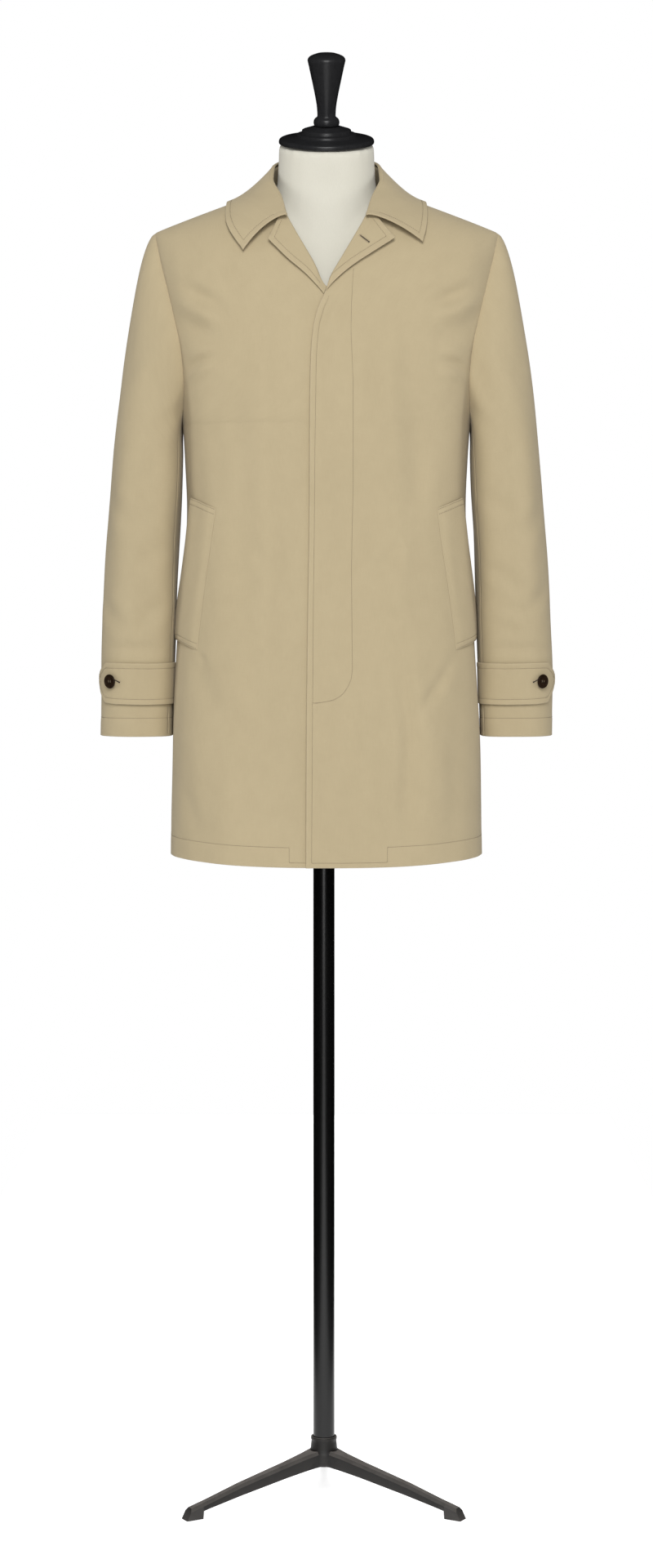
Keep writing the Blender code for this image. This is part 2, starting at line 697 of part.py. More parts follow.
def make_collar(name):
    """The fall, from its free edge up to the roll."""
    rows = []
    for t in (1.0, 0.75, 0.50, 0.26, 0.10, 0.0):
        start = FRONT_BOW * math.sin(math.pi * t**0.6)
        rows.append(collar_fall(start + (2 - 2 * start) * COLLAR_SHARES, t))
    outer = np.array(rows)
    inner = outer - grid_normals(outer) * COLLAR_WALL
    return cloth(name, outer, inner)


def make_stand(name):
    """The band between the neck seam and the roll."""
    places = STAND_FROM + (2 - 2 * STAND_FROM) * np.linspace(0, 1, 21)
    along, side = collar_side(places)
    seam = neck_seam(along)
    seam[..., 0] *= side
    roll = collar_roll(places)
    inward = -roll.copy()
    inward[:, 2] = 0
    inward /= np.linalg.norm(inward, axis=-1, keepdims=True)
    up = np.array((0.0, 0.0, 1.0))
    tuck = 0.0022 + 0.0025 * np.clip(1 - along / COLLAR_SHOULDER, 0, 1)
    low = seam + inward * tuck[:, None] + up * 0.0012
    high = roll + inward * 0.0027 - up * 0.0018
    outer = np.array([low + (high - low) * t for t in (0.0, 0.5, 1.0)])
    inner = outer - grid_normals(outer) * WALL
    return cloth(name, outer, inner)


def make_lapel(name, edge, lapel, roll_low, side):
    """The turned-back top of a front edge, folded over its roll line."""
    along = np.linspace(0, 1, 8)
    roll_z = roll_low + (LAPEL_ROLL_HIGH - roll_low) * along
    roll_x = edge.at("across", roll_z)
    edge_x = lapel.at("edge_x", along)
    edge_z = lapel.at("edge_z", along)
    lift = lapel.at("lift", along)

    def on_front(share, rise):
        x = roll_x + (edge_x - roll_x) * share
        z = roll_z + (edge_z - roll_z) * share
        angle, level = coat_place(x, z)
        point = coat_surface(side * angle, level)
        normal = outward(coat_surface, side * angle, level)
        if side > 0:
            rise = rise + lap_lift(x)
        return point + normal * np.asarray(rise)[..., None], normal

    panel, _ = front_grid(edge, side)
    root, inside = (
        np.stack([np.interp(roll_z, panel[:, column, 2], c) for c in panel[:, column].T], axis=-1)
        for column in (0, 1))
    _, normal = on_front(0.0, np.zeros(8))
    tangent = np.gradient(root, axis=0)
    tangent /= np.linalg.norm(tangent, axis=-1, keepdims=True)
    off = root - inside
    off -= tangent * np.sum(off * tangent, axis=-1, keepdims=True)
    off /= np.linalg.norm(off, axis=-1, keepdims=True)
    columns = [
        root + off * 0.0024 - normal * 0.0004,
        root + off * 0.0030 + normal * 0.0022,
        root + off * 0.0010 + normal * 0.0050,
    ]
    for share in (0.22, 0.50, 0.78, 1.0):
        columns.append(on_front(share, 0.0048 + (lift - 0.0048) * share)[0])
    outer = np.stack(columns, axis=1)
    if side < 0:
        outer = outer[:, ::-1]
    inner = outer - grid_normals(outer) * WALL
    return cloth(name, outer, inner)


def make_welt(name, side):
    """A pocket welt laid on its front."""
    along = np.linspace(1, 0, 8)[:, None]
    share = np.linspace(0, 1, 6)[None, :]
    x = WELT.at("front_x", along) * (1 - share) + WELT.at("free_x", along) * share
    z = WELT.at("front_z", along) * (1 - share) + WELT.at("free_z", along) * share
    angle, level = coat_place(x, z)
    points = coat_surface(side * angle, level)
    normals = outward(coat_surface, side * angle, level)
    rest = 0.0015 + WELT.at("free_lift", along) * share**2
    inner = points + normals * rest[..., None]
    return cloth(name, inner + normals * WALL, inner, flip=side < 0)


def tab_points(place, height, rest):
    level = (height - SLEEVE.rows[0, 0]) / (SLEEVE.rows[-1, 0] - SLEEVE.rows[0, 0])
    points = sleeve_surface(place, level)
    normals = outward(sleeve_surface, place, level)
    return points + normals * np.asarray(rest)[..., None], normals


TAB_REST = 0.0008


def make_tab(name, side):
    """A cuff tab laid on its sleeve, its lower edge a little loose."""
    place = np.concatenate((np.linspace(0.055, 0.3723, 9), (0.394, 0.437, 0.480)))[None, :]
    share = np.linspace(0, 1, 5)[:, None]
    low = TAB.at("low", place)
    height = low + (TAB.at("high", place) - low) * share
    place = np.broadcast_to(place, height.shape)
    inner, normals = tab_points(place, height, TAB_REST + TAB.at("lift", place) * (1 - share))
    outer = inner + normals * WALL
    if side < 0:
        outer = mirrored(outer)
        inner = mirrored(inner)
    return cloth(name, outer, inner, flip=side < 0)


def turned(name, profile, segments, group):
    """A solid turned about Z from the rows of a profile."""
    points = [(radius, 0.0, rise) for _, radius, rise in profile.rows]
    mesh = bpy.data.meshes.new(name)
    mesh.from_pydata(points, [(i, i + 1) for i in range(len(points) - 1)], [])
    thing = bpy.data.objects.new(name, mesh)
    group.objects.link(thing)
    screw = thing.modifiers.new("turn", "SCREW")
    screw.axis = "Z"
    screw.steps = segments
    screw.render_steps = segments
    screw.use_merge_vertices = True
    screw.merge_threshold = 0.00001
    screw.use_smooth_shade = True
    screw.use_normal_calculate = True
    return thing


def make_button(name, side):
    place = np.array((TAB_BUTTON_AROUND,))
    height = np.array((TAB_BUTTON_HEIGHT,))
    point, normal = tab_points(place, height, np.array((TAB_REST + WALL + BUTTON_REST,)))
    spot = Vector(point[0])
    facing = Vector(normal[0])
    spot.x *= side
    facing.x *= side
    button = turned(name, BUTTON_PROFILE, 20, coat_group)
    button.location = spot
    button.rotation_euler = facing.to_track_quat("Z", "Y").to_euler()
    paint(button, (0.045, 0.030, 0.022), 0.35)
    return button


def form_surface(angle, level):
    """The dress form's torso: level 0 is its flat bottom, 1 the underarm and 2 the shoulder line."""
    angle, level = np.broadcast_arrays(np.asarray(angle, float), np.asarray(level, float))
    rise = np.clip(level - 1, 0, 1)
    height = FORM_BOTTOM + (UNDERARM - FORM_BOTTOM) * np.clip(level, 0, 1)
    across, deep = around(angle)
    half_width = np.where(level < 1, FORM.at("half_width", height), FORM_SHOULDER.at("half_width", rise))
    shoulder = FORM_SHOULDER.rows[-1, 1] * np.abs(across)
    near_neck = np.clip((NECK_CLEAR_TO - shoulder) / 0.030, 0, 1)
    drop = (WALL + FORM_GAP) * math.hypot(1.0, SHOULDER_FALL) + NECK_CLEAR * near_neck
    top = ridge(shoulder) - drop
    faces_front = np.cos(angle) > 0
    power = roundness(across, faces_front)
    over = np.clip(1 - rise**power, 0, 1) ** (1 / power)
    depth = np.where(faces_front, -FORM.at("front_depth", height), FORM.at("back_depth", height))
    return np.stack((half_width * across, depth * deep * over, height + (top - UNDERARM) * rise), axis=-1)


def ring_solid(name, rings, group):
    """A closed solid through rings of points, with flat ends."""
    rows, columns = rings.shape[:2]
    faces = []
    for i in range(rows - 1):
        for j in range(columns):
            k = (j + 1) % columns
            a = i * columns
            faces.append((a + j, a + k, a + columns + k, a + columns + j))
    faces.append(tuple(range(columns))[::-1])
    faces.append(tuple((rows - 1) * columns + j for j in range(columns)))
    return add_mesh(name, rings.reshape(-1, 3), faces, group)


def make_form(name):
    """Torso and neck as one smooth covered form."""
    turns = 2 * np.pi * np.arange(28) / 28
    levels = np.concatenate((np.linspace(0, 1, 6)[:-1], 1 + RISES[[0, 3, 5, 7, 8, 9, 10, 11, 12, 13, 14]]))
    rings = np.array([form_surface(turns, level) for level in levels])
    torso = ring_solid(name, rings, coat_group)
    zip_up(torso)
    rows = []
    circle = 2 * np.pi * np.arange(24) / 24
    for height, middle_y, half_width, half_depth, tilt in NECK.rows:
        lean = math.radians(tilt)
        y = -half_depth * np.cos(circle)
        rows.append(np.stack((
            half_width * np.sin(circle),
            middle_y + y * math.cos(lean),
            height + y * math.sin(lean),
        ), axis=-1))
    neck = ring_solid("neck_joined_to_form", np.array(rows), cutter_group)
    join(torso, neck)
    paint(torso, (0.76, 0.73, 0.64), 0.8)
    return torso


def zip_up(thing):
    """Weld the front and back of the top row and drop its flat end."""
    work = bmesh.new()
    work.from_mesh(thing.data)
    work.faces.ensure_lookup_table()
    bmesh.ops.delete(work, geom=[work.faces[-1]], context="FACES_ONLY")
    bmesh.ops.remove_doubles(work, verts=work.verts[:], dist=0.000001)
    work.to_mesh(thing.data)
    work.free()


def join(thing, other):
    other.hide_render = True
    other.display_type = "WIRE"
    union = thing.modifiers.new("join " + other.name, "BOOLEAN")
    union.operation = "UNION"
    union.solver = "EXACT"
    union.object = other


def make_leg(name, turn):
    rows = []
    for reach, top, bottom, half_width, toe in LEG.rows:
        rows.append((
            (half_width, -reach - toe, bottom),
            (half_width, -reach, top - 0.003),
            (half_width * 0.5, -reach, top),
            (-half_width * 0.5, -reach, top),
            (-half_width, -reach, top - 0.003),
            (-half_width, -reach - toe, bottom),
        ))
    leg = ring_solid(name, np.array(rows), cutter_group)
    leg.location.x = POLE_X
    leg.rotation_euler.z = math.radians(turn)
    return leg


def make_base(name):
    """Hub socket and three legs in one casting."""
    base = turned(name, HUB_PROFILE, 24, coat_group)
    base.location.x = POLE_X
    for count, turn in enumerate(LEG_TURNS):
        join(base, make_leg("leg_joined_%d" % (count + 1), turn))
    paint(base, (0.050, 0.040, 0.034), 0.55, 0.6)
    return base


def make_pole(name):
    """From the hub's socket floor to the form's flat bottom."""
    low = HUB_FLOOR + SEAM
    high = FORM_BOTTOM - SEAM
    bpy.ops.mesh.primitive_cylinder_add(
        vertices=24, radius=POLE_RADIUS, depth=high - low, location=(POLE_X, 0, (low + high) / 2))
    pole = bpy.context.object
    pole.name = name
    for group in list(pole.users_collection):
        group.objects.unlink(pole)
    coat_group.objects.link(pole)
    paint(pole, (0.012, 0.012, 0.012), 0.25)
    return pole


def make_neck_wood():
    """Cap on the sloping neck and the finial on it."""
    lean = math.radians(NECK_TILT)
    axis = Vector((0.0, -math.sin(lean), math.cos(lean)))
    top = NECK.rows[-1]
    start = Vector((0.0, top[1], top[0]))
    cap = turned("neck_cap", CAP_PROFILE, 32, coat_group)
    cap.location = start + axis * SEAM
    finial = turned("finial", FINIAL_PROFILE, 24, coat_group)
    finial.location = start + axis * (2 * SEAM + CAP_PROFILE.rows[-1, 2])
    for thing in (cap, finial):
        thing.rotation_euler.x = lean
        paint(thing, (0.030, 0.030, 0.031), 0.6)
    return [cap, finial]


for old in list(bpy.data.objects):
    bpy.data.objects.remove(old, do_unlink=True)
COAT_COLOUR = (0.52, 0.42, 0.27)
coat_group = bpy.data.collections.new(OBJECT_NAME)
cutter_group = bpy.data.collections.new("joined_shapes")
for group in (coat_group, cutter_group):
    bpy.context.scene.collection.children.link(group)

pieces = [
    make_front("front_left", LEFT_EDGE, 1),
    make_front("front_right", RIGHT_EDGE, -1),
    make_back("back"),
]
ring_count = 2 * (len(RISES) - 1)
back_seam = ring_count - BACK_SEAM_RISE
for word, side in (("left", 1), ("right", -1)):
    pieces += [
        make_sleeve("top_sleeve_" + word, range(FRONT_SEAM_RISE, back_seam + 1), side),
        make_sleeve("under_sleeve_" + word, range(back_seam, ring_count + FRONT_SEAM_RISE + 1), side),
        make_welt("pocket_welt_" + word, side),
        make_tab("cuff_tab_" + word, side),
        make_button("cuff_button_" + word, side),
    ]
pieces += [
    make_lapel("lapel_left", LEFT_EDGE, LEFT_LAPEL, LEFT_ROLL_LOW, 1),
    make_lapel("lapel_right", RIGHT_EDGE, RIGHT_LAPEL, RIGHT_ROLL_LOW, -1),
]
pieces += [make_collar("collar"), make_stand("collar_stand"), make_form("dress_form")]
pieces += make_neck_wood()
pieces += [make_pole("pole"), make_base("tripod_base")]

centre = bpy.data.objects.new("centre", None)
centre.location.y = CENTRE_Y
coat_group.objects.link(centre)
for piece in pieces + list(cutter_group.objects):
    piece.parent = centre
    if piece.type == "MESH":
        shade_smooth(piece)
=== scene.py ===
"""Looks of a beige raincoat on its dress form stand: cloth, sewing, buttons, stand, light and camera.

Lengths are in metres. The front faces -Y, Z is up and the wearer's left is +X. Depths on the coat are
measured from the coat's middle, which lies CENTRE_Y from the origin.
"""
import math

import bpy
import numpy as np
from mathutils import Matrix, Vector
from mathutils.bvhtree import BVHTree


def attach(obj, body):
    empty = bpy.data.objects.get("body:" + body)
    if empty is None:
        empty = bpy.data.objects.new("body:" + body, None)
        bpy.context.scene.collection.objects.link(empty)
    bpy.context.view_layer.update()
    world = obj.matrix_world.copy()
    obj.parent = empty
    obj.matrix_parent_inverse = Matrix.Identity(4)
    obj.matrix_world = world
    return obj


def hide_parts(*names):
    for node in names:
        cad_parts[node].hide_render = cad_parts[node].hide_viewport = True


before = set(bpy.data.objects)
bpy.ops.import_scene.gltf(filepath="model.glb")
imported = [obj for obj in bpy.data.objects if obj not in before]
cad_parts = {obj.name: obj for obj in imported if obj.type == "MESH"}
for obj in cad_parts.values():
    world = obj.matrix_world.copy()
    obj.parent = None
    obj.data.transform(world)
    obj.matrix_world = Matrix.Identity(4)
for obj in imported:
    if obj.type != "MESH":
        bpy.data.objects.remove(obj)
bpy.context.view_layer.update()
bpy.ops.object.select_all(action="DESELECT")

# Whole object
CENTRE_Y = -0.0285

# Cloth
WALL = 0.0016
DOUBLE_WALL = 0.0020
LAP_GAP = 0.0011
SQUARE = 2.5
SEAM_DIP = 0.0006
SEAM_SPREAD = 0.0022
GROOVE_DEPTH = 0.0004
GROOVE_SPREAD = 0.0011
FOLDED_EDGE_RISE = 0.0003
FOLDED_EDGE_SOFT = 0.0010
PUCKER = 0.00020
PUCKER_LENGTH = 0.0105
PUCKER_REACH = 0.0045
PUCKER_DRIFT = 1.7
PUCKER_DRIFT_RATE = 71.0
RIM_ROUND = 0.42
LAP_EASE_FROM = 0.130
LAP_EASE_RUN = 0.050

# Lines of the cloth grids: widths that they are spread over and their steps
GRID_STEP = 0.0048
FRONT_WIDTH = 0.345
BACK_HALF_WIDTH = 0.300
ARM_LENGTH = 0.374
SLEEVE_HEAD_LENGTH = 0.235
TOP_SLEEVE_WIDTH = 0.220
UNDER_SLEEVE_WIDTH = 0.085
COLLAR_LENGTH = 0.62
COLLAR_FALL = 0.085
COLLAR_STEP = 0.0034
COLLAR_FALL_STEP = 0.0030
STAND_COLUMNS = 130
STAND_ROWS = 14
LAPEL_LENGTH = 0.115
LAPEL_WIDTH = 0.055
LAPEL_STEP = 0.0024
WELT_LENGTH = 0.190
WELT_WIDTH = 0.034
WELT_STEP = 0.0035
WELT_CROSS_STEP = 0.0018
TAB_LENGTH = 0.125
TAB_WIDTH = 0.052
TAB_STEP = 0.0026
LINE_STEP = 0.0012
STEEP_RISE = 0.85
STEEP_LINES = 55
TURN_OVER_POWER = 0.8
TURN_OVER_LINES = 36
HEM_ROW_POINTS = 26
CORNER_ROW_POINTS = 14
EDGE_ROW_POINTS = 60
HOLE_POINTS = 12
BAR_POINTS = 8

# Rounds of solving for a place on the front, and a distance beyond every line
SOLVE_ROUNDS = 40
FAR = 9.0

# Coat lengths
HEM_SIDE = 0.8690
HEM_DIP_FRONT = 0.0075
HEM_DIP_BACK = 0.0040
UNDERARM = 1.4400
SIDE_SEAM = 92.0
NECK_SIDE_X = 0.0780
NECK_SIDE_Z = 1.7588
SHOULDER_FALL = 0.3913
SHOULDER_BEND = 0.0400
SHOULDER_HALF = 0.2360
ROUND_FRONT = 2.2
ROUND_BACK = 2.6
ROUND_SHOULDER = 3.2

# Sewing
STITCH_PITCH = 0.0026
STITCH_LENGTH = 0.0018
THREAD_RADIUS = 0.00030
THREAD_SIDES = 5
# A stitch along its length: share of the way, girth and height, in thread radii
STITCH_SHAPE = ((-0.5, 0.45, -0.35), (-0.24, 1.0, 0.45), (0.24, 1.0, 0.45), (0.5, 0.45, -0.35))
HEM_STITCH = 0.0255
CORNER_STITCH = 0.0058
EDGE_STITCH = 0.0064
EDGE_LIFT = 0.0026
EDGE_LIFT_REACH = 0.0080
COLLAR_STITCH = 0.0080
TAB_STITCH = 0.0068
WELT_STITCH = 0.0080
WELT_END_ROW = 0.0014
WELT_ROW_ENDS = 0.0015
WELT_THIN = 0.0004
WELT_OFF = 0.0001
WELT_RAISE = 0.0014
WELT_SEAM_REACH = 0.0055
WELT_END_REACH = 0.0045
WELT_END_DIP = 0.5
CUFF_STITCH_HEIGHT = 1.0504
EDGE_STITCH_TOP = 1.6050
HEM_ROW_SIDE = 0.2088
LEFT_HEM_ROW_END = -0.0190
RIGHT_HEM_ROW_END = -0.0230
LAPEL_FOOT = 1.62
LAPEL_FOOT_RUN = 0.02

# Weave of the coat and grain of its thread
RIB_PITCH = 0.00115
RIB_SLANT = 0.72
PICK_PITCH = 0.00080
PICK_SLANT = 0.1
EDGE_PALE_REACH = 0.0016
TWIST_GRAIN = 2600.0

# Colours, the darker and the lighter one of each finish
COAT_SHADE = (0.372, 0.304, 0.186)
COAT_LIGHT = (0.448, 0.370, 0.233)
COAT_EDGE_PALE = (0.500, 0.425, 0.290)
# Thread colours: the thread's own tone-on-tone colour, darkened well below the cloth as painted shade of its
# stitch holes and grooves
THREAD_DARK_WITH_PAINTED_SHADE = (0.120, 0.093, 0.057)
THREAD_LIGHT_WITH_PAINTED_SHADE = (0.205, 0.162, 0.101)
TWIST_SHADE = (0.300, 0.240, 0.150)
TWIST_LIGHT = (0.400, 0.325, 0.210)
# Painted shadow inside the buttonholes
SLIT_SHADE = (0.012, 0.009, 0.006)
SLIT_LIGHT = (0.030, 0.022, 0.014)
FORM_SHADE = (0.540, 0.521, 0.444)
FORM_LIGHT = (0.610, 0.592, 0.514)
WOOD_SHADE = (0.010, 0.010, 0.011)
WOOD_LIGHT = (0.020, 0.020, 0.021)
POLE_SHADE = (0.0012, 0.0012, 0.0012)
POLE_LIGHT = (0.0030, 0.0030, 0.0030)
CAST_SHADE = (0.0030, 0.0027, 0.0025)
CAST_LIGHT = (0.0110, 0.0095, 0.0083)
CAST_UPWARD_PALE = (0.150, 0.137, 0.126)
CAST_RUBBED_AND_PAINTED_HIGHLIGHT = (0.110, 0.100, 0.092)
HORN_SHADE = (0.0060, 0.0034, 0.0020)
HORN_LIGHT = (0.0320, 0.0175, 0.0095)
FLOOR_SHADE = (0.93, 0.93, 0.93)
FLOOR_LIGHT = (0.95, 0.95, 0.95)

# Studio; each soft light has a place, a size, a power and whether polished pieces mirror it
SOFT_LIGHTS = (
    ("front_soft_light", (0.0, -4.6, 1.5), (1.6, 2.2), 49.0, True),
    ("high_soft_light", (0.0, -3.6, 3.4), (1.6, 1.6), 117.0, True),
    ("left_soft_light", (4.2, -0.3, 1.6), (1.2, 2.2), 46.0, False),
    ("right_soft_light", (-4.2, -0.3, 1.6), (1.2, 2.2), 46.0, False),
    ("back_soft_light", (0.0, 4.4, 2.4), (2.0, 2.0), 90.0, False),
)
FILL_LIGHT = 0.31
FLOOR_GLOW = 0.52
FLOOR_MIDDLE = (0.0, -0.2, 0.0)
FLOOR_SIZE = (1.3, 6.4, 1.0)
LIGHT_AIM = (0.0, 0.0, 1.3)
PICTURE_HEIGHT = 1920
PIXEL = 0.0011
EYE_ROW = 702
EYE_HEIGHT = 1.244
EYE_AWAY = 4.3
SENSOR = 36.0

# Stand
NECK_TILT = 17.0
NECK_TOP_FORWARD = 0.0215
NECK_TOP_HEIGHT = 1.8195
CAP_HEIGHT = 0.0234
CAP_SIDES = 96
FINIAL_SIDES = 64
FORM_BOTTOM = 0.9850
POLE_X = -0.0035
POLE_RADIUS = 0.0143
POLE_CHAMFER = 0.0006
POLE_SIDES = 64
SEAM = 0.0003
HUB_TOP = 0.0830
HUB_FLOOR = 0.0470
HUB_SIDES = 48
LEG_TURNS = (-60.0, 60.0, 180.0)
LEG_START = 0.004
LEG_TOE = 0.0080
LEG_TOP_BEVEL = 0.0036
LEG_TOP_BAND = 0.0015
LEG_NEAR = 0.001
CAST_EDGE = 0.0009
CAST_EDGE_ANGLE = 28.0

# Cover of the form
COVER_MERGE = 0.00001
COVER_GRAIN = 0.0045
COVER_RELAX_SHARE = 0.5
COVER_RELAX = 14

# Buttons
BUTTON_SIDES = 48
BUTTON_FACE = 0.0021
HOLE_OFF = 0.0017
HOLE_RADIUS = 0.00085
HOLE_SIDES = 16
DRILL_DEPTH = 0.01
DRILL_MIDDLE = 0.002
BUTTON_THREAD_POINTS = 4
BUTTON_THREAD_PITCH = 0.0030
BUTTON_THREAD_LENGTH = 0.0034
BUTTON_THREAD_RADIUS = 0.0004

# Angles up to which hard pieces are smoothed, and how squarely a face looks along an axis to count
SMOOTH_ANGLE = 40.0
CAST_SMOOTH = 35.0
BUTTON_SMOOTH = 35.0
COVER_SMOOTH = 60.0
SQUARELY = 0.9


# Smooth tables

def smooth(keys, values, places):
    """Smooth values between the keys, without overshoot."""
    step = np.diff(keys)
    slope = np.diff(values) / step
    tangent = np.zeros(len(keys))
    tangent[0] = slope[0]
    tangent[-1] = slope[-1]
    for i in range(1, len(keys) - 1):
        if slope[i - 1] * slope[i] > 0:
            ahead = 2 * step[i] + step[i - 1]
            behind = step[i] + 2 * step[i - 1]
            tangent[i] = (ahead + behind) / (ahead / slope[i - 1] + behind / slope[i])
    places = np.clip(places, keys[0], keys[-1])
    index = np.clip(np.searchsorted(keys, places, side="right") - 1, 0, len(keys) - 2)
    t = (places - keys[index]) / step[index]
    start = values[index] * (2 * t**3 - 3 * t**2 + 1) + tangent[index] * step[index] * (t**3 - 2 * t**2 + t)
    end = values[index + 1] * (3 * t**2 - 2 * t**3) + tangent[index + 1] * step[index] * (t**3 - t**2)
    return start + end


class Table:
    """A short table with named columns, read smoothly along its first one."""

    def __init__(self, columns, *rows):
        self.columns = columns
        self.rows = np.array(rows, float)

    def at(self, column, place):
        values = self.rows[:, self.columns.index(column)]
        return smooth(self.rows[:, 0], values, np.asarray(place, float))


def eased(share, amount=1.0):
    """From nothing to an amount as a share goes from 0 to 1, with a gentle start and end."""
    return amount * share * share * (3 - 2 * share)


def unit(vectors):
    """Vectors brought to length 1."""
    return vectors / np.linalg.norm(vectors, axis=-1, keepdims=True)


def way_along(points):
    """Distance of each point of a line from its start."""
    return np.concatenate(((0.0,), np.cumsum(np.linalg.norm(np.diff(points, axis=0), axis=-1))))


def read_along(places, way, values):
    """Rows of values read at places between the given ones."""
    return np.stack([np.interp(places, way, column) for column in values.T], axis=-1)


BODY = Table(
    ("height", "half_width", "front_depth", "back_depth"),
    (0.860, 0.2090, 0.1520, 0.1420),
    (1.000, 0.2075, 0.1515, 0.1410),
    (1.150, 0.2000, 0.1490, 0.1370),
    (1.330, 0.1870, 0.1450, 0.1240),
    (1.395, 0.1897, 0.1492, 0.1310),
    (1.440, 0.1930, 0.1500, 0.1320),
)
SHOULDER = Table(
    ("rise", "half_width"),
    (0.00, 0.1930),
    (0.27, 0.2019),
    (0.55, 0.2140),
    (0.80, 0.2260),
    (1.00, SHOULDER_HALF),
)
ARMHOLE = Table(
    ("rise", "front_angle", "back_angle"),
    (0.00, 92.0, 88.0),
    (0.03, 82.5, 81.5),
    (0.10, 74.8, 75.8),
    (0.25, 68.5, 70.2),
    (0.40, 67.2, 69.2),
    (0.55, 69.4, 70.2),
    (0.70, 72.2, 72.4),
    (0.86, 75.4, 75.4),
    (1.00, 76.9, 76.9),
)
# Largest soft folds, at both hips, on both sides of the chest and behind at both sides of the skirt: how far
# round from the middle front, how broad, from which height to which and how deep
FOLDS = (
    (-27.0, 9.0, 0.82, 1.30, 0.0035),
    (30.0, 9.0, 0.82, 1.24, 0.0045),
    (36.0, 10.0, 1.28, 1.60, -0.0030),
    (-36.0, 10.0, 1.28, 1.60, -0.0030),
    (152.0, 10.0, 0.80, 1.26, 0.0050),
    (-150.0, 10.0, 0.80, 1.22, 0.0045),
)
# Edge of the lapping front, then its roll line up to the neck seam at the shoulder
LEFT_EDGE = Table(
    ("height", "across"),
    (0.8615, -0.0260),
    (1.1500, -0.0240),
    (1.4400, -0.0212),
    (1.5200, -0.0200),
    (1.5620, -0.0170),
    (1.5870, -0.0110),
    (1.6050, -0.0035),
    (1.6210, 0.0030),
    (1.6550, 0.0220),
    (1.6900, 0.0420),
    (1.7220, 0.0590),
    (1.7430, 0.0700),
    (NECK_SIDE_Z, NECK_SIDE_X),
)
RIGHT_EDGE = Table(
    ("height", "across"),
    (0.8615, -0.0450),
    (1.1500, -0.0450),
    (1.4400, -0.0450),
    (1.5450, -0.0450),
    (1.5850, -0.0350),
    (1.6050, -0.0180),
    (1.6210, 0.0030),
    (1.6550, 0.0220),
    (1.6900, 0.0420),
    (1.7220, 0.0590),
    (1.7430, 0.0700),
    (NECK_SIDE_Z, NECK_SIDE_X),
)
BACK_NECK = Table(
    ("across", "rise"),
    (-0.028, 0.907),
    (0.000, 0.895),
    (0.028, 0.907),
    (0.055, 0.940),
    (NECK_SIDE_X, 1.000),
)
# Sleeve below its head; the lower arm's inner side lies up to 1.9 mm nearer the body than the solid's does
SLEEVE = Table(
    ("height", "inner", "outer", "middle_y", "half_depth"),
    (1.026, 0.2081, 0.3050, 0.0160, 0.0500),
    (1.100, 0.2056, 0.3050, 0.0150, 0.0560),
    (1.180, 0.2021, 0.3025, 0.0120, 0.0630),
    (1.270, 0.1995, 0.2980, 0.0060, 0.0690),
    (1.356, 0.1950, 0.2910, 0.0020, 0.0730),
    (1.400, 0.1935, 0.2868, 0.0000, 0.0740),
)
# How square the sleeve turns in toward the body, in front and behind; 2 is a plain oval
SLEEVE_SQUARE_FRONT = 3.2
SLEEVE_SQUARE_BACK = 2.4
# How far up the armhole the sleeve's front and back seams start
FRONT_SEAM_RISE = 0.09
BACK_SEAM_RISE = 0.49
SLEEVE_PROBE = 0.01
# Levels just below the armhole where the sleeve's normals are read
MITRE_LEVEL = 1.97
SKIN_LEVEL = 1.99
# How the sleeve leaves the armhole, as shares of the way down to its first whole ring
SLEEVE_START = Table(
    ("around", "out", "forward", "down"),
    (0.000, 0.10, 0.00, 1.00),
    (0.125, 0.34, 0.16, 0.85),
    (0.250, 0.38, 0.20, 0.68),
    (0.375, 0.34, 0.10, 0.40),
    (0.500, 0.24, 0.00, 0.16),
    (0.625, 0.34, -0.10, 0.40),
    (0.750, 0.38, -0.18, 0.68),
    (0.875, 0.34, -0.14, 0.85),
    (1.000, 0.10, 0.00, 1.00),
)
# Collar from its left front end to the middle of the back, where a row past it keeps it level: its roll, and
# its free edge by the place on the coat that it lies over, how far off, and how far it swells on the way
COLLAR = Table(
    ("along", "roll_x", "roll_y", "roll_z", "edge_x", "edge_rise", "edge_lift", "upper", "lower"),
    (0.00, 0.0536, -0.1090, 1.7157, 0.1250, 0.795, 0.0065, 0.0040, 0.0070),
    (0.12, 0.0632, -0.0740, 1.7440, 0.1300, 0.865, 0.0060, 0.0020, 0.0040),
    (0.28, 0.0758, -0.0350, 1.7715, 0.1325, 0.945, 0.0045, -0.0030, -0.0020),
    (0.45, 0.0740, 0.0020, 1.7910, 0.1310, 1.000, 0.0040, -0.0050, -0.0060),
    (0.65, 0.0660, 0.0420, 1.8020, 0.1100, 0.955, 0.0045, -0.0050, -0.0040),
    (0.82, 0.0400, 0.0680, 1.8090, 0.0650, 0.900, 0.0050, -0.0030, 0.0000),
    (1.00, 0.0000, 0.0780, 1.8110, 0.0000, 0.870, 0.0050, -0.0020, 0.0020),
    (1.18, -0.0400, 0.0680, 1.8090, -0.0650, 0.900, 0.0050, -0.0030, 0.0000),
)
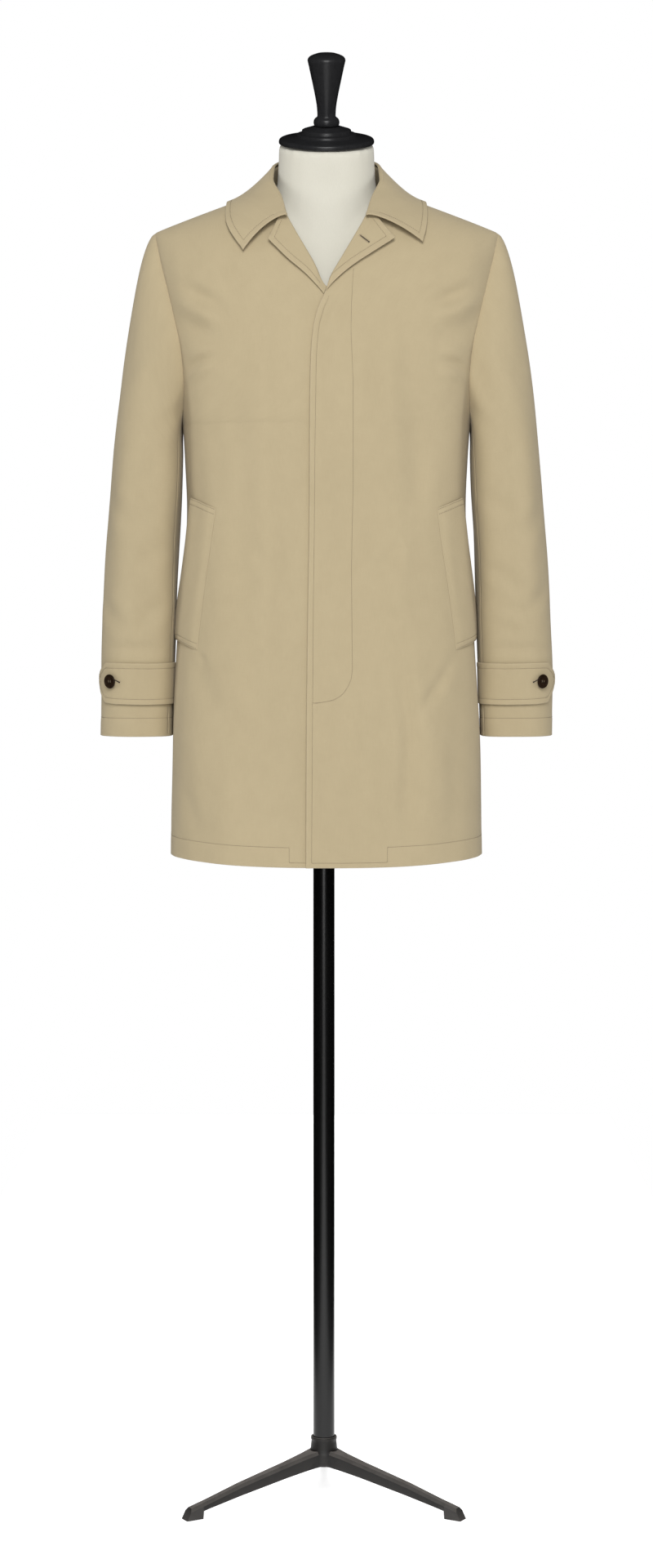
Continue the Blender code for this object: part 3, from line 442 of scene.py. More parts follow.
# Collar: where it meets the shoulder line, its fall, its roll, its right tip and the stand under it
COLLAR_SHOULDER = 0.45
COLLAR_SWELL = 0.0005
COLLAR_SWELL_ALONG = 39.0
COLLAR_SWELL_SHIFT = 0.6
COLLAR_SWELL_DOWN = 46.0
COLLAR_RIPPLE = 0.0003
COLLAR_RIPPLE_ALONG = 87.0
COLLAR_RIPPLE_DOWN = 60.0
COLLAR_FRONT_HEIGHT = 1.7220
COLLAR_UPPER = 0.33
COLLAR_LOWER = 0.72
COLLAR_TURNS = (30, 60, 90, 120, 150, 175)
COLLAR_ROLL_IN = 0.0026
COLLAR_ROLL_UP = 0.0020
COLLAR_ROW_END = 0.022
RIGHT_TIP_IN = 0.0165
RIGHT_TIP_DOWN = 0.0520
RIGHT_TIP_REACH = 0.2
FRONT_BOW = 0.020
FRONT_BOW_POWER = 0.6
STAND_FROM = 0.12
STAND_TUCK = 0.0022
STAND_TUCK_FRONT = 0.0025
STAND_FOOT_UP = 0.0012
STAND_TOP_IN = 0.0027
STAND_TOP_DOWN = 0.0042
LEFT_LAPEL = Table(
    ("along", "edge_x", "edge_z", "lift"),
    (-0.20, -0.0005, 1.6118, 0.0022),
    (-0.10, 0.0058, 1.6200, 0.0038),
    (0.00, 0.0122, 1.6267, 0.0046),
    (0.30, 0.0320, 1.6438, 0.0050),
    (0.65, 0.0590, 1.6622, 0.0062),
    (1.00, 0.0881, 1.6810, 0.0075),
)
RIGHT_LAPEL = Table(
    ("along", "edge_x", "edge_z", "lift"),
    (-0.06, 0.0034, 1.6086, 0.0024),
    (0.00, 0.0062, 1.6122, 0.0030),
    (0.30, 0.0260, 1.6340, 0.0045),
    (0.65, 0.0505, 1.6550, 0.0060),
    (1.00, 0.0752, 1.6800, 0.0075),
)
# Roll of the lapels and their rows of stitches
ROLL_OUT = 0.0030
ROLL_MIDDLE = 0.0023
ROLL_UP = 0.0026
ROLL_LEAST = 0.20
ROLL_GROWS = 0.26
LEFT_ROLL_LOW = 1.6300
RIGHT_ROLL_LOW = 1.6240
LAPEL_ROLL_HIGH = 1.7200
LAPEL_TURNS = (-55, -38, -20, 0, 20, 40, 60, 78)
LAPEL_PROBE = 0.02
LAPEL_STITCH_FROM = 0.02
LAPEL_STITCH_RUN = 0.12
LAPEL_ROW_FOOT = 0.010
LAPEL_TOP_ROW_START = 0.018
# Welt of the slanted pocket: front line sewn down, outer line free and standing a little off
WELT = Table(
    ("along", "front_x", "front_z", "free_x", "free_z", "free_lift"),
    (0.00, 0.1450, 1.3290, 0.1780, 1.3440, 0.0010),
    (0.25, 0.1515, 1.2825, 0.1815, 1.2970, 0.0030),
    (0.50, 0.1585, 1.2360, 0.1875, 1.2500, 0.0036),
    (0.75, 0.1650, 1.1895, 0.1950, 1.2030, 0.0026),
    (1.00, 0.1710, 1.1430, 0.2005, 1.1560, 0.0010),
)
# Cuff tab: round the sleeve from the inner seam, across the front, to its point outside
TAB = Table(
    ("around", "low", "high", "lift"),
    (0.055, 1.0700, 1.1240, 0.0000),
    (0.200, 1.0690, 1.1235, 0.0016),
    (0.330, 1.0698, 1.1240, 0.0010),
    (0.394, 1.0712, 1.1240, 0.0005),
    (0.480, 1.0972, 1.1068, 0.0000),
)
TAB_REST = 0.0008
TAB_ROW_START = 0.001
TAB_POINT_ENDS = 0.004
TAB_BUTTON_AROUND = 0.353
TAB_BUTTON_HEIGHT = 1.1000
BUTTON_REST = 0.0005

# How creases fade toward their ends, and the low bank on both sides of them
CREASE_FADE = 1.2
CREASE_BANK = 0.32
CREASE_BANK_AT = 1.9
CREASE_BANK_BREADTH = 0.9
# Creases of the fronts: from and to places across and up, bow, half width and height, troughs below zero
FRONT_CREASES = (
    (-0.1972, 1.6250, -0.1270, 1.5830, 0.0020, 0.0090, -0.0036),
    (-0.2046, 1.6080, -0.1400, 1.5720, 0.0010, 0.0115, 0.0030),
    (-0.1950, 1.5680, -0.1360, 1.5570, 0.0000, 0.0130, -0.0036),
    (-0.1900, 1.5060, -0.1380, 1.5290, 0.0060, 0.0060, -0.0028),
    (-0.1860, 1.4960, -0.1380, 1.5140, 0.0060, 0.0075, 0.0020),
    (-0.1400, 1.6620, -0.1180, 1.6180, 0.0020, 0.0090, -0.0022),
    (-0.1529, 1.5150, -0.1500, 1.3400, 0.0040, 0.0140, -0.0030),
    (-0.1240, 1.4950, -0.1210, 1.3850, 0.0020, 0.0120, -0.0024),
    (-0.0828, 1.6100, -0.0850, 1.0600, 0.0060, 0.0180, 0.0032),
    (-0.0900, 1.5720, -0.0905, 1.5180, 0.0010, 0.0070, -0.0018),
    (-0.0600, 1.6020, -0.0605, 1.3600, -0.0030, 0.0115, -0.0025),
    (-0.1062, 1.3300, -0.1080, 1.0900, 0.0040, 0.0160, -0.0022),
    (-0.1008, 1.6540, -0.0640, 1.5200, 0.0050, 0.0180, -0.0016),
    (-0.0960, 1.2850, -0.0820, 1.2420, 0.0020, 0.0090, -0.0018),
    (0.2035, 1.6300, 0.1270, 1.5960, 0.0040, 0.0090, -0.0040),
    (0.2040, 1.6110, 0.1420, 1.5780, 0.0020, 0.0120, 0.0034),
    (0.1965, 1.5660, 0.1370, 1.5590, 0.0000, 0.0130, -0.0038),
    (0.1900, 1.5060, 0.1400, 1.5230, -0.0070, 0.0060, -0.0030),
    (0.1840, 1.4950, 0.1420, 1.5080, -0.0050, 0.0075, 0.0020),
    (0.1870, 1.5440, 0.1540, 1.5520, -0.0030, 0.0070, -0.0013),
    (0.0575, 1.5560, 0.0568, 1.4200, 0.0020, 0.0085, -0.0027),
    (0.0760, 1.6150, 0.0800, 1.3500, 0.0030, 0.0150, 0.0027),
    (0.1460, 1.4900, 0.1500, 1.3700, -0.0040, 0.0140, -0.0026),
    (0.1150, 1.4900, 0.1190, 1.3100, 0.0030, 0.0150, -0.0028),
    (0.1030, 1.3300, 0.0920, 1.1600, 0.0040, 0.0170, 0.0022),
    (0.0965, 1.2880, 0.0780, 1.2440, -0.0020, 0.0085, -0.0024),
    (0.0720, 1.1850, 0.0990, 1.1810, 0.0020, 0.0080, -0.0017),
    (0.1710, 1.1450, 0.1130, 1.0560, 0.0060, 0.0070, -0.0024),
    (0.0900, 1.1600, 0.1110, 0.9850, 0.0030, 0.0110, -0.0042),
    (0.1120, 1.0600, 0.1090, 0.8720, -0.0050, 0.0125, -0.0044),
    (0.0850, 1.1100, 0.0890, 0.9000, 0.0020, 0.0150, 0.0027),
    (0.1400, 1.0900, 0.1440, 0.8720, 0.0030, 0.0170, 0.0036),
    (0.0390, 1.1200, 0.0390, 0.9300, 0.0010, 0.0090, -0.0020),
    (-0.1699, 1.1430, -0.1590, 1.1210, 0.0000, 0.0042, -0.0015),
    (-0.1760, 1.1380, -0.1470, 1.0500, 0.0050, 0.0110, -0.0020),
    (-0.1660, 1.0900, -0.1640, 0.9200, -0.0040, 0.0180, 0.0028),
    (-0.1060, 1.1550, -0.0970, 1.0650, 0.0020, 0.0120, -0.0022),
    (-0.1120, 1.0800, -0.0990, 0.8900, 0.0040, 0.0180, -0.0030),
    (-0.1880, 0.9650, -0.1720, 0.8950, 0.0020, 0.0080, -0.0015),
    (0.0270, 1.6160, 0.0085, 1.5480, -0.0060, 0.0050, 0.0017),
    (0.0150, 1.6020, 0.0010, 1.5350, -0.0050, 0.0048, 0.0017),
    (0.0110, 1.5700, -0.0030, 1.5180, -0.0030, 0.0042, -0.0014),
    (0.0200, 1.5650, 0.0060, 1.4800, -0.0040, 0.0070, 0.0016),
    (0.0330, 1.6300, 0.0180, 1.5400, -0.0080, 0.0060, -0.0015),
)
# Creases of the back, in the same way
BACK_CREASES = (
    (-0.1880, 1.5160, -0.1180, 1.5460, 0.0070, 0.0080, -0.0021),
    (-0.1850, 1.4980, -0.1220, 1.5230, 0.0060, 0.0090, 0.0017),
    (0.1880, 1.5080, 0.1250, 1.5360, -0.0080, 0.0080, -0.0023),
    (0.1860, 1.4900, 0.1300, 1.5140, -0.0060, 0.0090, 0.0016),
    (-0.1500, 1.5200, -0.1380, 1.2900, 0.0060, 0.0160, -0.0022),
    (0.1520, 1.5050, 0.1420, 1.3000, -0.0050, 0.0160, -0.0021),
    (-0.0720, 1.6200, -0.0620, 1.1900, 0.0080, 0.0200, 0.0022),
    (0.0800, 1.6000, 0.0640, 1.2000, -0.0060, 0.0200, 0.0020),
    (-0.0080, 1.5600, 0.0040, 1.1800, 0.0040, 0.0200, -0.0018),
    (-0.1050, 1.6450, -0.0100, 1.6620, 0.0060, 0.0160, -0.0016),
    (0.1080, 1.6380, 0.0180, 1.6600, -0.0060, 0.0160, -0.0015),
    (-0.1420, 1.2100, -0.1340, 0.8900, 0.0060, 0.0180, -0.0024),
    (-0.0420, 1.1300, -0.0520, 0.8720, 0.0040, 0.0190, -0.0023),
    (0.0480, 1.1700, 0.0420, 0.8720, 0.0040, 0.0180, -0.0026),
    (0.1420, 1.1500, 0.1500, 0.8800, -0.0040, 0.0180, -0.0022),
    (0.0960, 1.0900, 0.1020, 0.8800, 0.0040, 0.0160, 0.0020),
    (-0.0950, 1.1200, -0.0930, 0.8800, -0.0040, 0.0170, 0.0020),
    (0.0010, 1.0800, -0.0060, 0.8800, 0.0030, 0.0170, 0.0020),
)
# Length round the sleeves that shares are turned into
SLEEVE_SPAN = 0.28
# Creases of the sleeves: from and to shares round from the inner side and heights, then as above
LEFT_SLEEVE_CREASES = (
    (0.26, 1.6100, 0.33, 1.4700, -0.0060, 0.0110, 0.0022),
    (0.33, 1.4900, 0.31, 1.2000, 0.0040, 0.0130, 0.0020),
    (0.14, 1.5650, 0.22, 1.4560, 0.0050, 0.0090, -0.0022),
    (0.06, 1.4900, 0.19, 1.4200, 0.0040, 0.0090, -0.0018),
    (0.42, 1.6150, 0.38, 1.5000, 0.0040, 0.0110, -0.0014),
    (0.10, 1.3600, 0.27, 1.3040, 0.0050, 0.0110, -0.0016),
    (0.42, 1.3450, 0.24, 1.2760, 0.0040, 0.0100, -0.0018),
    (0.12, 1.2600, 0.30, 1.2080, 0.0050, 0.0090, -0.0019),
    (0.44, 1.2380, 0.25, 1.1870, 0.0050, 0.0090, -0.0020),
    (0.14, 1.1950, 0.34, 1.1620, 0.0030, 0.0080, 0.0014),
    (0.10, 1.1420, 0.46, 1.1380, 0.0030, 0.0070, -0.0018),
    (0.58, 1.3600, 0.76, 1.2900, 0.0060, 0.0110, -0.0020),
    (0.86, 1.3300, 0.68, 1.2500, 0.0060, 0.0110, -0.0022),
    (0.60, 1.2500, 0.80, 1.2000, 0.0050, 0.0100, -0.0018),
    (0.66, 1.5700, 0.74, 1.4400, 0.0050, 0.0120, -0.0022),
    (0.58, 1.5800, 0.62, 1.4000, 0.0050, 0.0130, 0.0016),
    (0.56, 1.1500, 0.78, 1.1350, 0.0030, 0.0090, -0.0016),
)
RIGHT_SLEEVE_CREASES = (
    (0.27, 1.5950, 0.36, 1.4700, -0.0060, 0.0110, 0.0021),
    (0.35, 1.4900, 0.33, 1.1800, 0.0040, 0.0130, 0.0020),
    (0.18, 1.5870, 0.15, 1.5200, 0.0030, 0.0090, -0.0020),
    (0.07, 1.4820, 0.20, 1.4250, 0.0040, 0.0090, -0.0016),
    (0.43, 1.6050, 0.40, 1.4900, 0.0040, 0.0110, -0.0014),
    (0.44, 1.3600, 0.24, 1.3000, 0.0050, 0.0100, -0.0015),
    (0.11, 1.2900, 0.28, 1.2380, 0.0050, 0.0110, -0.0018),
    (0.13, 1.2150, 0.25, 1.1570, 0.0040, 0.0085, -0.0021),
    (0.45, 1.2200, 0.29, 1.1660, 0.0050, 0.0095, -0.0018),
    (0.12, 1.1400, 0.44, 1.1430, 0.0030, 0.0070, -0.0017),
    (0.58, 1.3450, 0.77, 1.2750, 0.0060, 0.0110, -0.0021),
    (0.85, 1.3100, 0.66, 1.2350, 0.0060, 0.0110, -0.0019),
    (0.64, 1.5600, 0.73, 1.4300, 0.0050, 0.0120, -0.0022),
    (0.59, 1.5700, 0.62, 1.3900, 0.0050, 0.0130, 0.0015),
    (0.57, 1.1520, 0.80, 1.1380, 0.0030, 0.0090, -0.0015),
)
# Slack of hanging cloth: waves round the body or sleeve, their lean along the height, shift and height
BODY_SLACK = (
    (7, 5.0, 0.4, 0.00045),
    (11, -7.0, 1.9, 0.00035),
    (16, 9.0, 3.1, 0.00024),
    (23, -15.0, 5.2, 0.00016),
    (5, 23.0, 2.2, 0.00028),
)
SLEEVE_SLACK = (
    (2, 16.0, 0.9, 0.00040),
    (3, -22.0, 2.7, 0.00034),
    (5, 31.0, 4.4, 0.00022),
    (4, 48.0, 1.2, 0.00018),
)
# Where creases and slack die away: mean radius that turns angles into lengths, and the reach by each seam
BODY_RADIUS = 0.2
SEAM_CALM_REACH = 0.012
SHOULDER_CALM = 0.12
UNDERARM_CALM = 0.04
ARMHOLE_CALM = 0.25
# Row of stitches that holds the hidden fly, from under the lapel down to the bar at the front edge
FLY_LINE = (
    (0.0352, 1.6420),
    (0.0340, 1.6230),
    (0.0322, 1.5900),
    (0.0318, 1.5582),
    (0.0332, 1.5260),
    (0.0344, 1.4945),
    (0.0344, 1.3523),
    (0.0330, 1.2900),
    (0.0323, 1.2461),
    (0.0335, 1.1177),
    (0.0318, 1.1060),
    (0.0281, 1.0975),
    (0.0240, 1.0905),
    (0.0187, 1.0848),
    (0.0130, 1.0812),
    (0.0079, 1.0789),
    (-0.0053, 1.0763),
    (-0.0150, 1.0752),
)
# Bar that ends the fly, and buttonholes by their two ends
FLY_BAR = ((-0.0176, 1.0752), (-0.0117, 1.0752))
LAPEL_HOLE = ((0.0433, 1.6861), (0.0566, 1.6755))
LAPEL_HOLE_OFF = np.array((0.0, -0.008, 0.002))
TAB_HOLE_FROM = (0.3413, 1.1025)
TAB_HOLE_TO = (0.3120, 1.0983)
BAR_PITCH = 0.00055
BAR_LENGTH = 0.0016
BAR_RADIUS = 0.00022
ONE_EACH = 1.0
SLIT_HALF = 0.00060
EYELET_RADIUS = 0.00115
SLIT_END = 0.00015
SLIT_BAR_OFF = 0.00045
SLIT_LIFT = 0.00022
SLIT_WALL = 0.0002
SLIT_ACROSS = (-1.0, -0.4, 0.4, 1.0)
# Where the row of stitches along each front's hem steps down to its corner
LEFT_HEM_STEP = 0.0788
RIGHT_HEM_STEP = -0.0485

# Distances in millimetres of the close grid lines next to an edge
NARROW = (0.8, 2.0, 3.6)
TOPSTITCHED = (0.7, 1.6, 3.0, 4.6, 5.6, 6.4, 7.2, 8.2, 9.6, 11.6)
HEMMED = (0.8, 2.0, 3.6, 4.8, 5.8, 6.8, 8.4, 12.0, 17.0, 21.5, 23.8, 25.5, 27.2, 29.5)
FLY_LINES = (
    15.0, 19.5, 24.0, 28.5, 33.0, 37.5, 42.0, 46.0, 49.0,
    51.0, 52.4, 53.6, 54.8, 56.0, 57.2, 58.4, 59.6, 61.0,
)
COLLAR_ROLL_LINES = (1.2, 2.8)
LAPEL_ROLL_LINES = (1.2, 2.6)
WELT_LINES = (0.7, 1.6)


# Forms of the coat

def ridge(across):
    """Height of the shoulder line."""
    way_out = np.hypot(across, SHOULDER_BEND) - math.hypot(NECK_SIDE_X, SHOULDER_BEND)
    return NECK_SIDE_Z - SHOULDER_FALL * way_out


def roundness(across, faces_front):
    """How squarely front or back turns over into the shoulder line, more so toward the arms."""
    middle = np.where(faces_front, ROUND_FRONT, ROUND_BACK)
    return middle + (ROUND_SHOULDER - middle) * np.clip(np.abs(across), 0, 1) ** 2


def hem(angle):
    """Height of the hem round the coat."""
    facing = np.cos(angle)
    return HEM_SIDE - np.where(facing > 0, HEM_DIP_FRONT, HEM_DIP_BACK) * facing**2


def around(angle):
    """Shares of half width and depth at an angle from the middle front."""
    sine = np.sin(angle)
    across = np.sign(sine) * np.abs(sine) ** (2 / SQUARE)
    deep = np.abs(np.cos(angle)) ** (2 / SQUARE)
    return across, deep


def coat_surface(angle, level):
    """Outer cloth of the body: level 0 is the hem, 1 the underarm and 2 the shoulder line."""
    angle, level = np.broadcast_arrays(np.asarray(angle, float), np.asarray(level, float))
    low = np.clip(level, 0, 1)
    rise = np.clip(level - 1, 0, 1)
    across, deep = around(angle)
    bottom = hem(angle)
    height = bottom + (UNDERARM - bottom) * low
    half_width = np.where(level < 1, BODY.at("half_width", height), SHOULDER.at("half_width", rise))
    z = height + (ridge(SHOULDER_HALF * across) - UNDERARM) * rise
    faces_front = np.cos(angle) > 0
    power = roundness(across, faces_front)
    over = np.clip(1 - rise**power, 0, 1) ** (1 / power)
    depth = np.where(faces_front, -BODY.at("front_depth", height), BODY.at("back_depth", height))
    for fold_turn, breadth, from_height, to_height, fold_depth in FOLDS:
        turn = np.degrees(angle) - fold_turn
        turn = (turn + 180) % 360 - 180
        window = np.clip((z - from_height) / (to_height - from_height), 0, 1)
        share = np.exp(-((turn / breadth) ** 2)) * np.sin(np.pi * window) ** 2
        depth = depth + np.sign(depth) * fold_depth * share
    return np.stack((half_width * across, depth * deep * over, z), axis=-1)


def outward(surface, first, second, step=2e-4):
    """Unit normals of a surface of two numbers."""
    ahead = surface(first + step, second) - surface(first - step, second)
    up = surface(first, np.minimum(second + step, 2.0)) - surface(first, second - step)
    return unit(np.cross(ahead, up))


def coat_place(x, z):
    """Angle and level of the front's point at a place across and a height."""
    x = np.asarray(x, float)
    z = np.asarray(z, float)
    rise = np.clip((z - UNDERARM) / (NECK_SIDE_Z - UNDERARM), 0, 1)
    for _ in range(SOLVE_ROUNDS):
        half_width = np.where(z < UNDERARM, BODY.at("half_width", z), SHOULDER.at("half_width", rise))
        share = np.clip(x / half_width, -1, 1)
        rise = np.clip((z - UNDERARM) / (ridge(SHOULDER_HALF * share) - UNDERARM), 0, 1)
    angle = np.arcsin(np.sign(share) * np.abs(share) ** (SQUARE / 2))
    low = np.clip((z - hem(angle)) / (UNDERARM - hem(angle)), 0, 1)
    return angle, low + rise


def front_edge(table, levels):
    """Angle of a front's inner edge at each level."""
    angle, level = coat_place(table.rows[:, 1], table.rows[:, 0])
    level[0] = 0.0
    level[-1] = 2.0
    return smooth(level, angle, levels)


def lap_lift(across):
    """How far the lapping front stands out to clear the one below it."""
    ease = np.clip((LAP_EASE_FROM - across) / LAP_EASE_RUN, 0, 1)
    return eased(ease, WALL + LAP_GAP)


def armhole_angle(column, rise):
    """How far round the armhole lies from the middle front or back."""
    return np.radians(ARMHOLE.at(column, rise))


# Close grid lines

def spread(width, step, start=NARROW, end=NARROW):
    """Shares of a width about a step apart, with closer lines given in millimetres from each end."""
    first = np.array((0.0,) + tuple(start)) / 1000
    last = width - np.array(tuple(end)[::-1] + (0.0,)) / 1000
    count = max(2, round((last[0] - first[-1]) / step))
    middle = np.linspace(first[-1], last[0], count + 1)[1:-1]
    return np.concatenate((first, middle, last)) / width


LOW_LEVELS = spread(UNDERARM - HEM_SIDE, GRID_STEP, HEMMED, ())
TURN_OVER = np.linspace(math.asin(STEEP_RISE ** (1 / TURN_OVER_POWER)), math.pi / 2, TURN_OVER_LINES)
STEEP = np.linspace(0, STEEP_RISE, STEEP_LINES)
RISES = np.concatenate((STEEP[:-1], np.sin(TURN_OVER) ** TURN_OVER_POWER))
RISES[-1] = 1.0
BODY_LEVELS = np.concatenate((LOW_LEVELS[:-1], 1 + RISES))
FRONT_COLUMNS = spread(FRONT_WIDTH, GRID_STEP, TOPSTITCHED + FLY_LINES, NARROW)


def armhole_line():
    """Angles and levels round the left armhole: up the front, over the shoulder, down the back."""
    front = armhole_angle("front_angle", RISES)
    back = np.pi - armhole_angle("back_angle", RISES)
    return np.concatenate((front, back[-2::-1])), 1 + np.concatenate((RISES, RISES[-2::-1]))


def armhole_round():
    """Points and places round the left armhole, places from 0 to 1."""
    points = coat_surface(*armhole_line())
    way = np.linalg.norm(np.diff(points, axis=0), axis=-1)
    top = len(RISES) - 1
    climb = np.concatenate(((0.0,), np.cumsum(way[:top]))) / np.sum(way[:top])
    drop = np.cumsum(way[top:]) / np.sum(way[top:])
    return points, np.concatenate((climb / 2, 0.5 + drop / 2))


ARMHOLE_POINTS, ARMHOLE_PLACES = armhole_round()
FRONT_SEAM_PLACE = float(np.interp(FRONT_SEAM_RISE, RISES, ARMHOLE_PLACES[:len(RISES)]))
BACK_SEAM_PLACE = float(np.interp(BACK_SEAM_RISE, RISES, ARMHOLE_PLACES[:len(RISES) - 2:-1]))


def sleeve_ring(place, height):
    """A whole ring of the left sleeve; place 0 is next to the body and 0.25 the front."""
    turn = 2 * np.pi * place
    inner = SLEEVE.at("inner", height)
    outer = SLEEVE.at("outer", height)
    square = np.where(place % 1.0 < 0.25, SLEEVE_SQUARE_FRONT, 2.0)
    square = np.where(place % 1.0 > 0.75, SLEEVE_SQUARE_BACK, square)
    grow = (np.abs(np.cos(turn)) ** square + np.abs(np.sin(turn)) ** square) ** (-1 / square)
    x = (inner + outer) / 2 - (outer - inner) / 2 * np.cos(turn) * grow
    y = SLEEVE.at("middle_y", height) - SLEEVE.at("half_depth", height) * np.sin(turn) * grow
    return np.stack((x, y, np.broadcast_to(height, x.shape)), axis=-1)


def sleeve_surface(place, level):
    """Outer cloth of the left sleeve: level 0 is the cuff, 1 the first whole ring and 2 the armhole."""
    place, level = np.broadcast_arrays(np.asarray(place, float), np.asarray(level, float))
    cuff = SLEEVE.rows[0, 0]
    whole = SLEEVE.rows[-1, 0]
    ring = sleeve_ring(place, cuff + (whole - cuff) * np.clip(level, 0, 1))
    seam = read_along(place % 1.0, ARMHOLE_PLACES, ARMHOLE_POINTS)
    first = sleeve_ring(place, np.full(place.shape, whole))
    below = sleeve_ring(place, np.full(place.shape, whole - SLEEVE_PROBE))
    length = np.linalg.norm(first - seam, axis=-1, keepdims=True)
    start = np.stack((
        SLEEVE_START.at("out", place % 1.0),
        -SLEEVE_START.at("forward", place % 1.0),
        -SLEEVE_START.at("down", place % 1.0),
    ), axis=-1) * length
    end = (below - first) / SLEEVE_PROBE * length
    t = np.clip(2 - level, 0, 1)[..., None]
    cap = seam * (2 * t**3 - 3 * t**2 + 1) + start * (t**3 - 2 * t**2 + t)
    cap = cap + first * (3 * t**2 - 2 * t**3) + end * (t**3 - t**2)
    return np.where((level > 1)[..., None], cap, ring)


def armhole_mitre():
    """Directions halfway between the body's and the sleeve's faces round the left armhole."""
    body = outward(coat_surface, *armhole_line())
    sleeve = outward(sleeve_surface, ARMHOLE_PLACES, np.full(ARMHOLE_PLACES.shape, MITRE_LEVEL))
    return unit(body + sleeve)


ARMHOLE_MITRE = armhole_mitre()


def neck_seam(along):
    """Edge of the neck from the front end of the collar to the middle of the back."""
    share = COLLAR_SHOULDER
    height = COLLAR_FRONT_HEIGHT + (NECK_SIDE_Z - COLLAR_FRONT_HEIGHT) * np.clip(along / share, 0, 1)
    front_angle, front_level = coat_place(LEFT_EDGE.at("across", height), height)
    across = NECK_SIDE_X * np.clip((1 - along) / (1 - share), 0, 1)
    rise = BACK_NECK.at("rise", across)
    back_share = across / SHOULDER.at("half_width", rise)
    back_angle = np.pi - np.arcsin(back_share ** (SQUARE / 2))
    front = coat_surface(front_angle, front_level)
    back = coat_surface(back_angle, 1 + rise)
    return np.where((along < share)[..., None], front, back)


def collar_side(place):
    """Way along half the collar and which side it is on; place runs left front, back, right front."""
    return np.where(place <= 1, place, 2 - place), np.where(place <= 1, 1.0, -1.0)


def collar_roll(place):
    """Points of the collar's roll, its highest line."""
    along, side = collar_side(place)
    across, deep, height = (COLLAR.at("roll_" + axis, along) for axis in "xyz")
    return np.stack((side * across, deep, height), axis=-1)


def collar_edge(place):
    """Free edge of the collar, a little off the coat below it, and the coat's normals there."""
    along, side = collar_side(place)
    tip = np.where(side < 0, np.clip(1 - along / RIGHT_TIP_REACH, 0, 1) ** 2, 0.0)
    rise = COLLAR.at("edge_rise", along) - RIGHT_TIP_DOWN * tip
    share = (COLLAR.at("edge_x", along) - RIGHT_TIP_IN * tip) / SHOULDER.at("half_width", rise)
    angle = np.arcsin(np.clip(share, 0, 1) ** (SQUARE / 2))
    angle = side * np.where(along < COLLAR_SHOULDER, angle, np.pi - angle)
    normal = outward(coat_surface, angle, 1 + rise)
    return coat_surface(angle, 1 + rise) + normal * COLLAR.at("edge_lift", along)[..., None], normal


def collar_fall(place, t):
    """Points of the fall along the collar, from the roll at 0 to the free edge at 1."""
    along, _ = collar_side(place)
    roll = collar_roll(place)
    edge, normal = collar_edge(place)
    over = roll + (edge - roll) * COLLAR_UPPER + normal * COLLAR.at("upper", along)[:, None]
    hang = roll + (edge - roll) * COLLAR_LOWER + normal * COLLAR.at("lower", along)[:, None]
    upper = roll * (1 - t) ** 3 + over * 3 * t * (1 - t) ** 2
    return upper + hang * 3 * t**2 * (1 - t) + edge * t**3


# Relief of the cloth

def creases(rows, x, z):
    """Height of soft troughs and ridges at places on the cloth, each with a low bank on both sides."""
    total = np.zeros(np.shape(x))
    for from_x, from_z, to_x, to_z, bow, half_width, height in rows:
        run = math.hypot(to_x - from_x, to_z - from_z)
        way_x = (to_x - from_x) / run
        way_z = (to_z - from_z) / run
        along = ((x - from_x) * way_x + (z - from_z) * way_z) / run
        aside = (z - from_z) * way_x - (x - from_x) * way_z - bow * 4 * along * (1 - along)
        window = np.sin(np.pi * np.clip(along, 0, 1)) ** CREASE_FADE
        share = np.abs(aside) / half_width
        bank = np.exp(-(((share - CREASE_BANK_AT) / CREASE_BANK_BREADTH) ** 2))
        total += height * window * (np.exp(-share**2) - CREASE_BANK * bank)
    return total


def slack(rows, turn, z):
    """Gentle unevenness of cloth that hangs."""
    total = np.zeros(np.shape(turn))
    for waves, lean, shift, height in rows:
        total += height * np.sin(waves * turn + lean * z + shift)
    return total


def off_line(path, x, z):
    """Distance of places from a line of points."""
    best = np.full(np.shape(x), FAR)
    for (ax, az), (bx, bz) in zip(path, path[1:]):
        run = (bx - ax) ** 2 + (bz - az) ** 2
        t = np.clip(((x - ax) * (bx - ax) + (z - az) * (bz - az)) / run, 0, 1)
        best = np.minimum(best, np.hypot(x - ax - t * (bx - ax), z - az - t * (bz - az)))
    return best


def stitch_groove(away, along):
    """Cloth drawn in along a row of stitches, with small uneven puckers beside it."""
    wave = np.sin(2 * np.pi * along / PUCKER_LENGTH + PUCKER_DRIFT * np.sin(along * PUCKER_DRIFT_RATE))
    pucker = PUCKER * wave * np.exp(-((away / PUCKER_REACH) ** 2))
    return pucker - GROOVE_DEPTH * np.exp(-((away / GROOVE_SPREAD) ** 2))


def folded_edge(away, stitch):
    """Extra height of a turned edge, from the edge to its row of stitches."""
    return FOLDED_EDGE_RISE / (1 + np.exp((away - stitch) / FOLDED_EDGE_SOFT))


def hem_line(x):
    """Height of the front's hem at places across."""
    share = np.clip(np.abs(x) / BODY.rows[0, 1], 0, 1)
    return hem(np.arcsin(share ** (SQUARE / 2)))


def hem_path(step, edge_x, side_x):
    """Row of stitches along a front's hem, stepping down near the front edge where the facing is."""
    out = np.linspace(side_x, step, HEM_ROW_POINTS)
    along = np.linspace(step, edge_x, CORNER_ROW_POINTS)
    path = [(x, hem_line(x) + HEM_STITCH) for x in out]
    path += [(x, hem_line(x) + CORNER_STITCH) for x in along]
    return [(float(x), float(z)) for x, z in path]


def edge_path():
    """Row of stitches beside the lapping front's edge."""
    heights = np.linspace(HEM_SIDE - HEM_DIP_FRONT + CORNER_STITCH, EDGE_STITCH_TOP, EDGE_ROW_POINTS)
    return list(zip((LEFT_EDGE.at("across", heights) + EDGE_STITCH).tolist(), heights.tolist()))


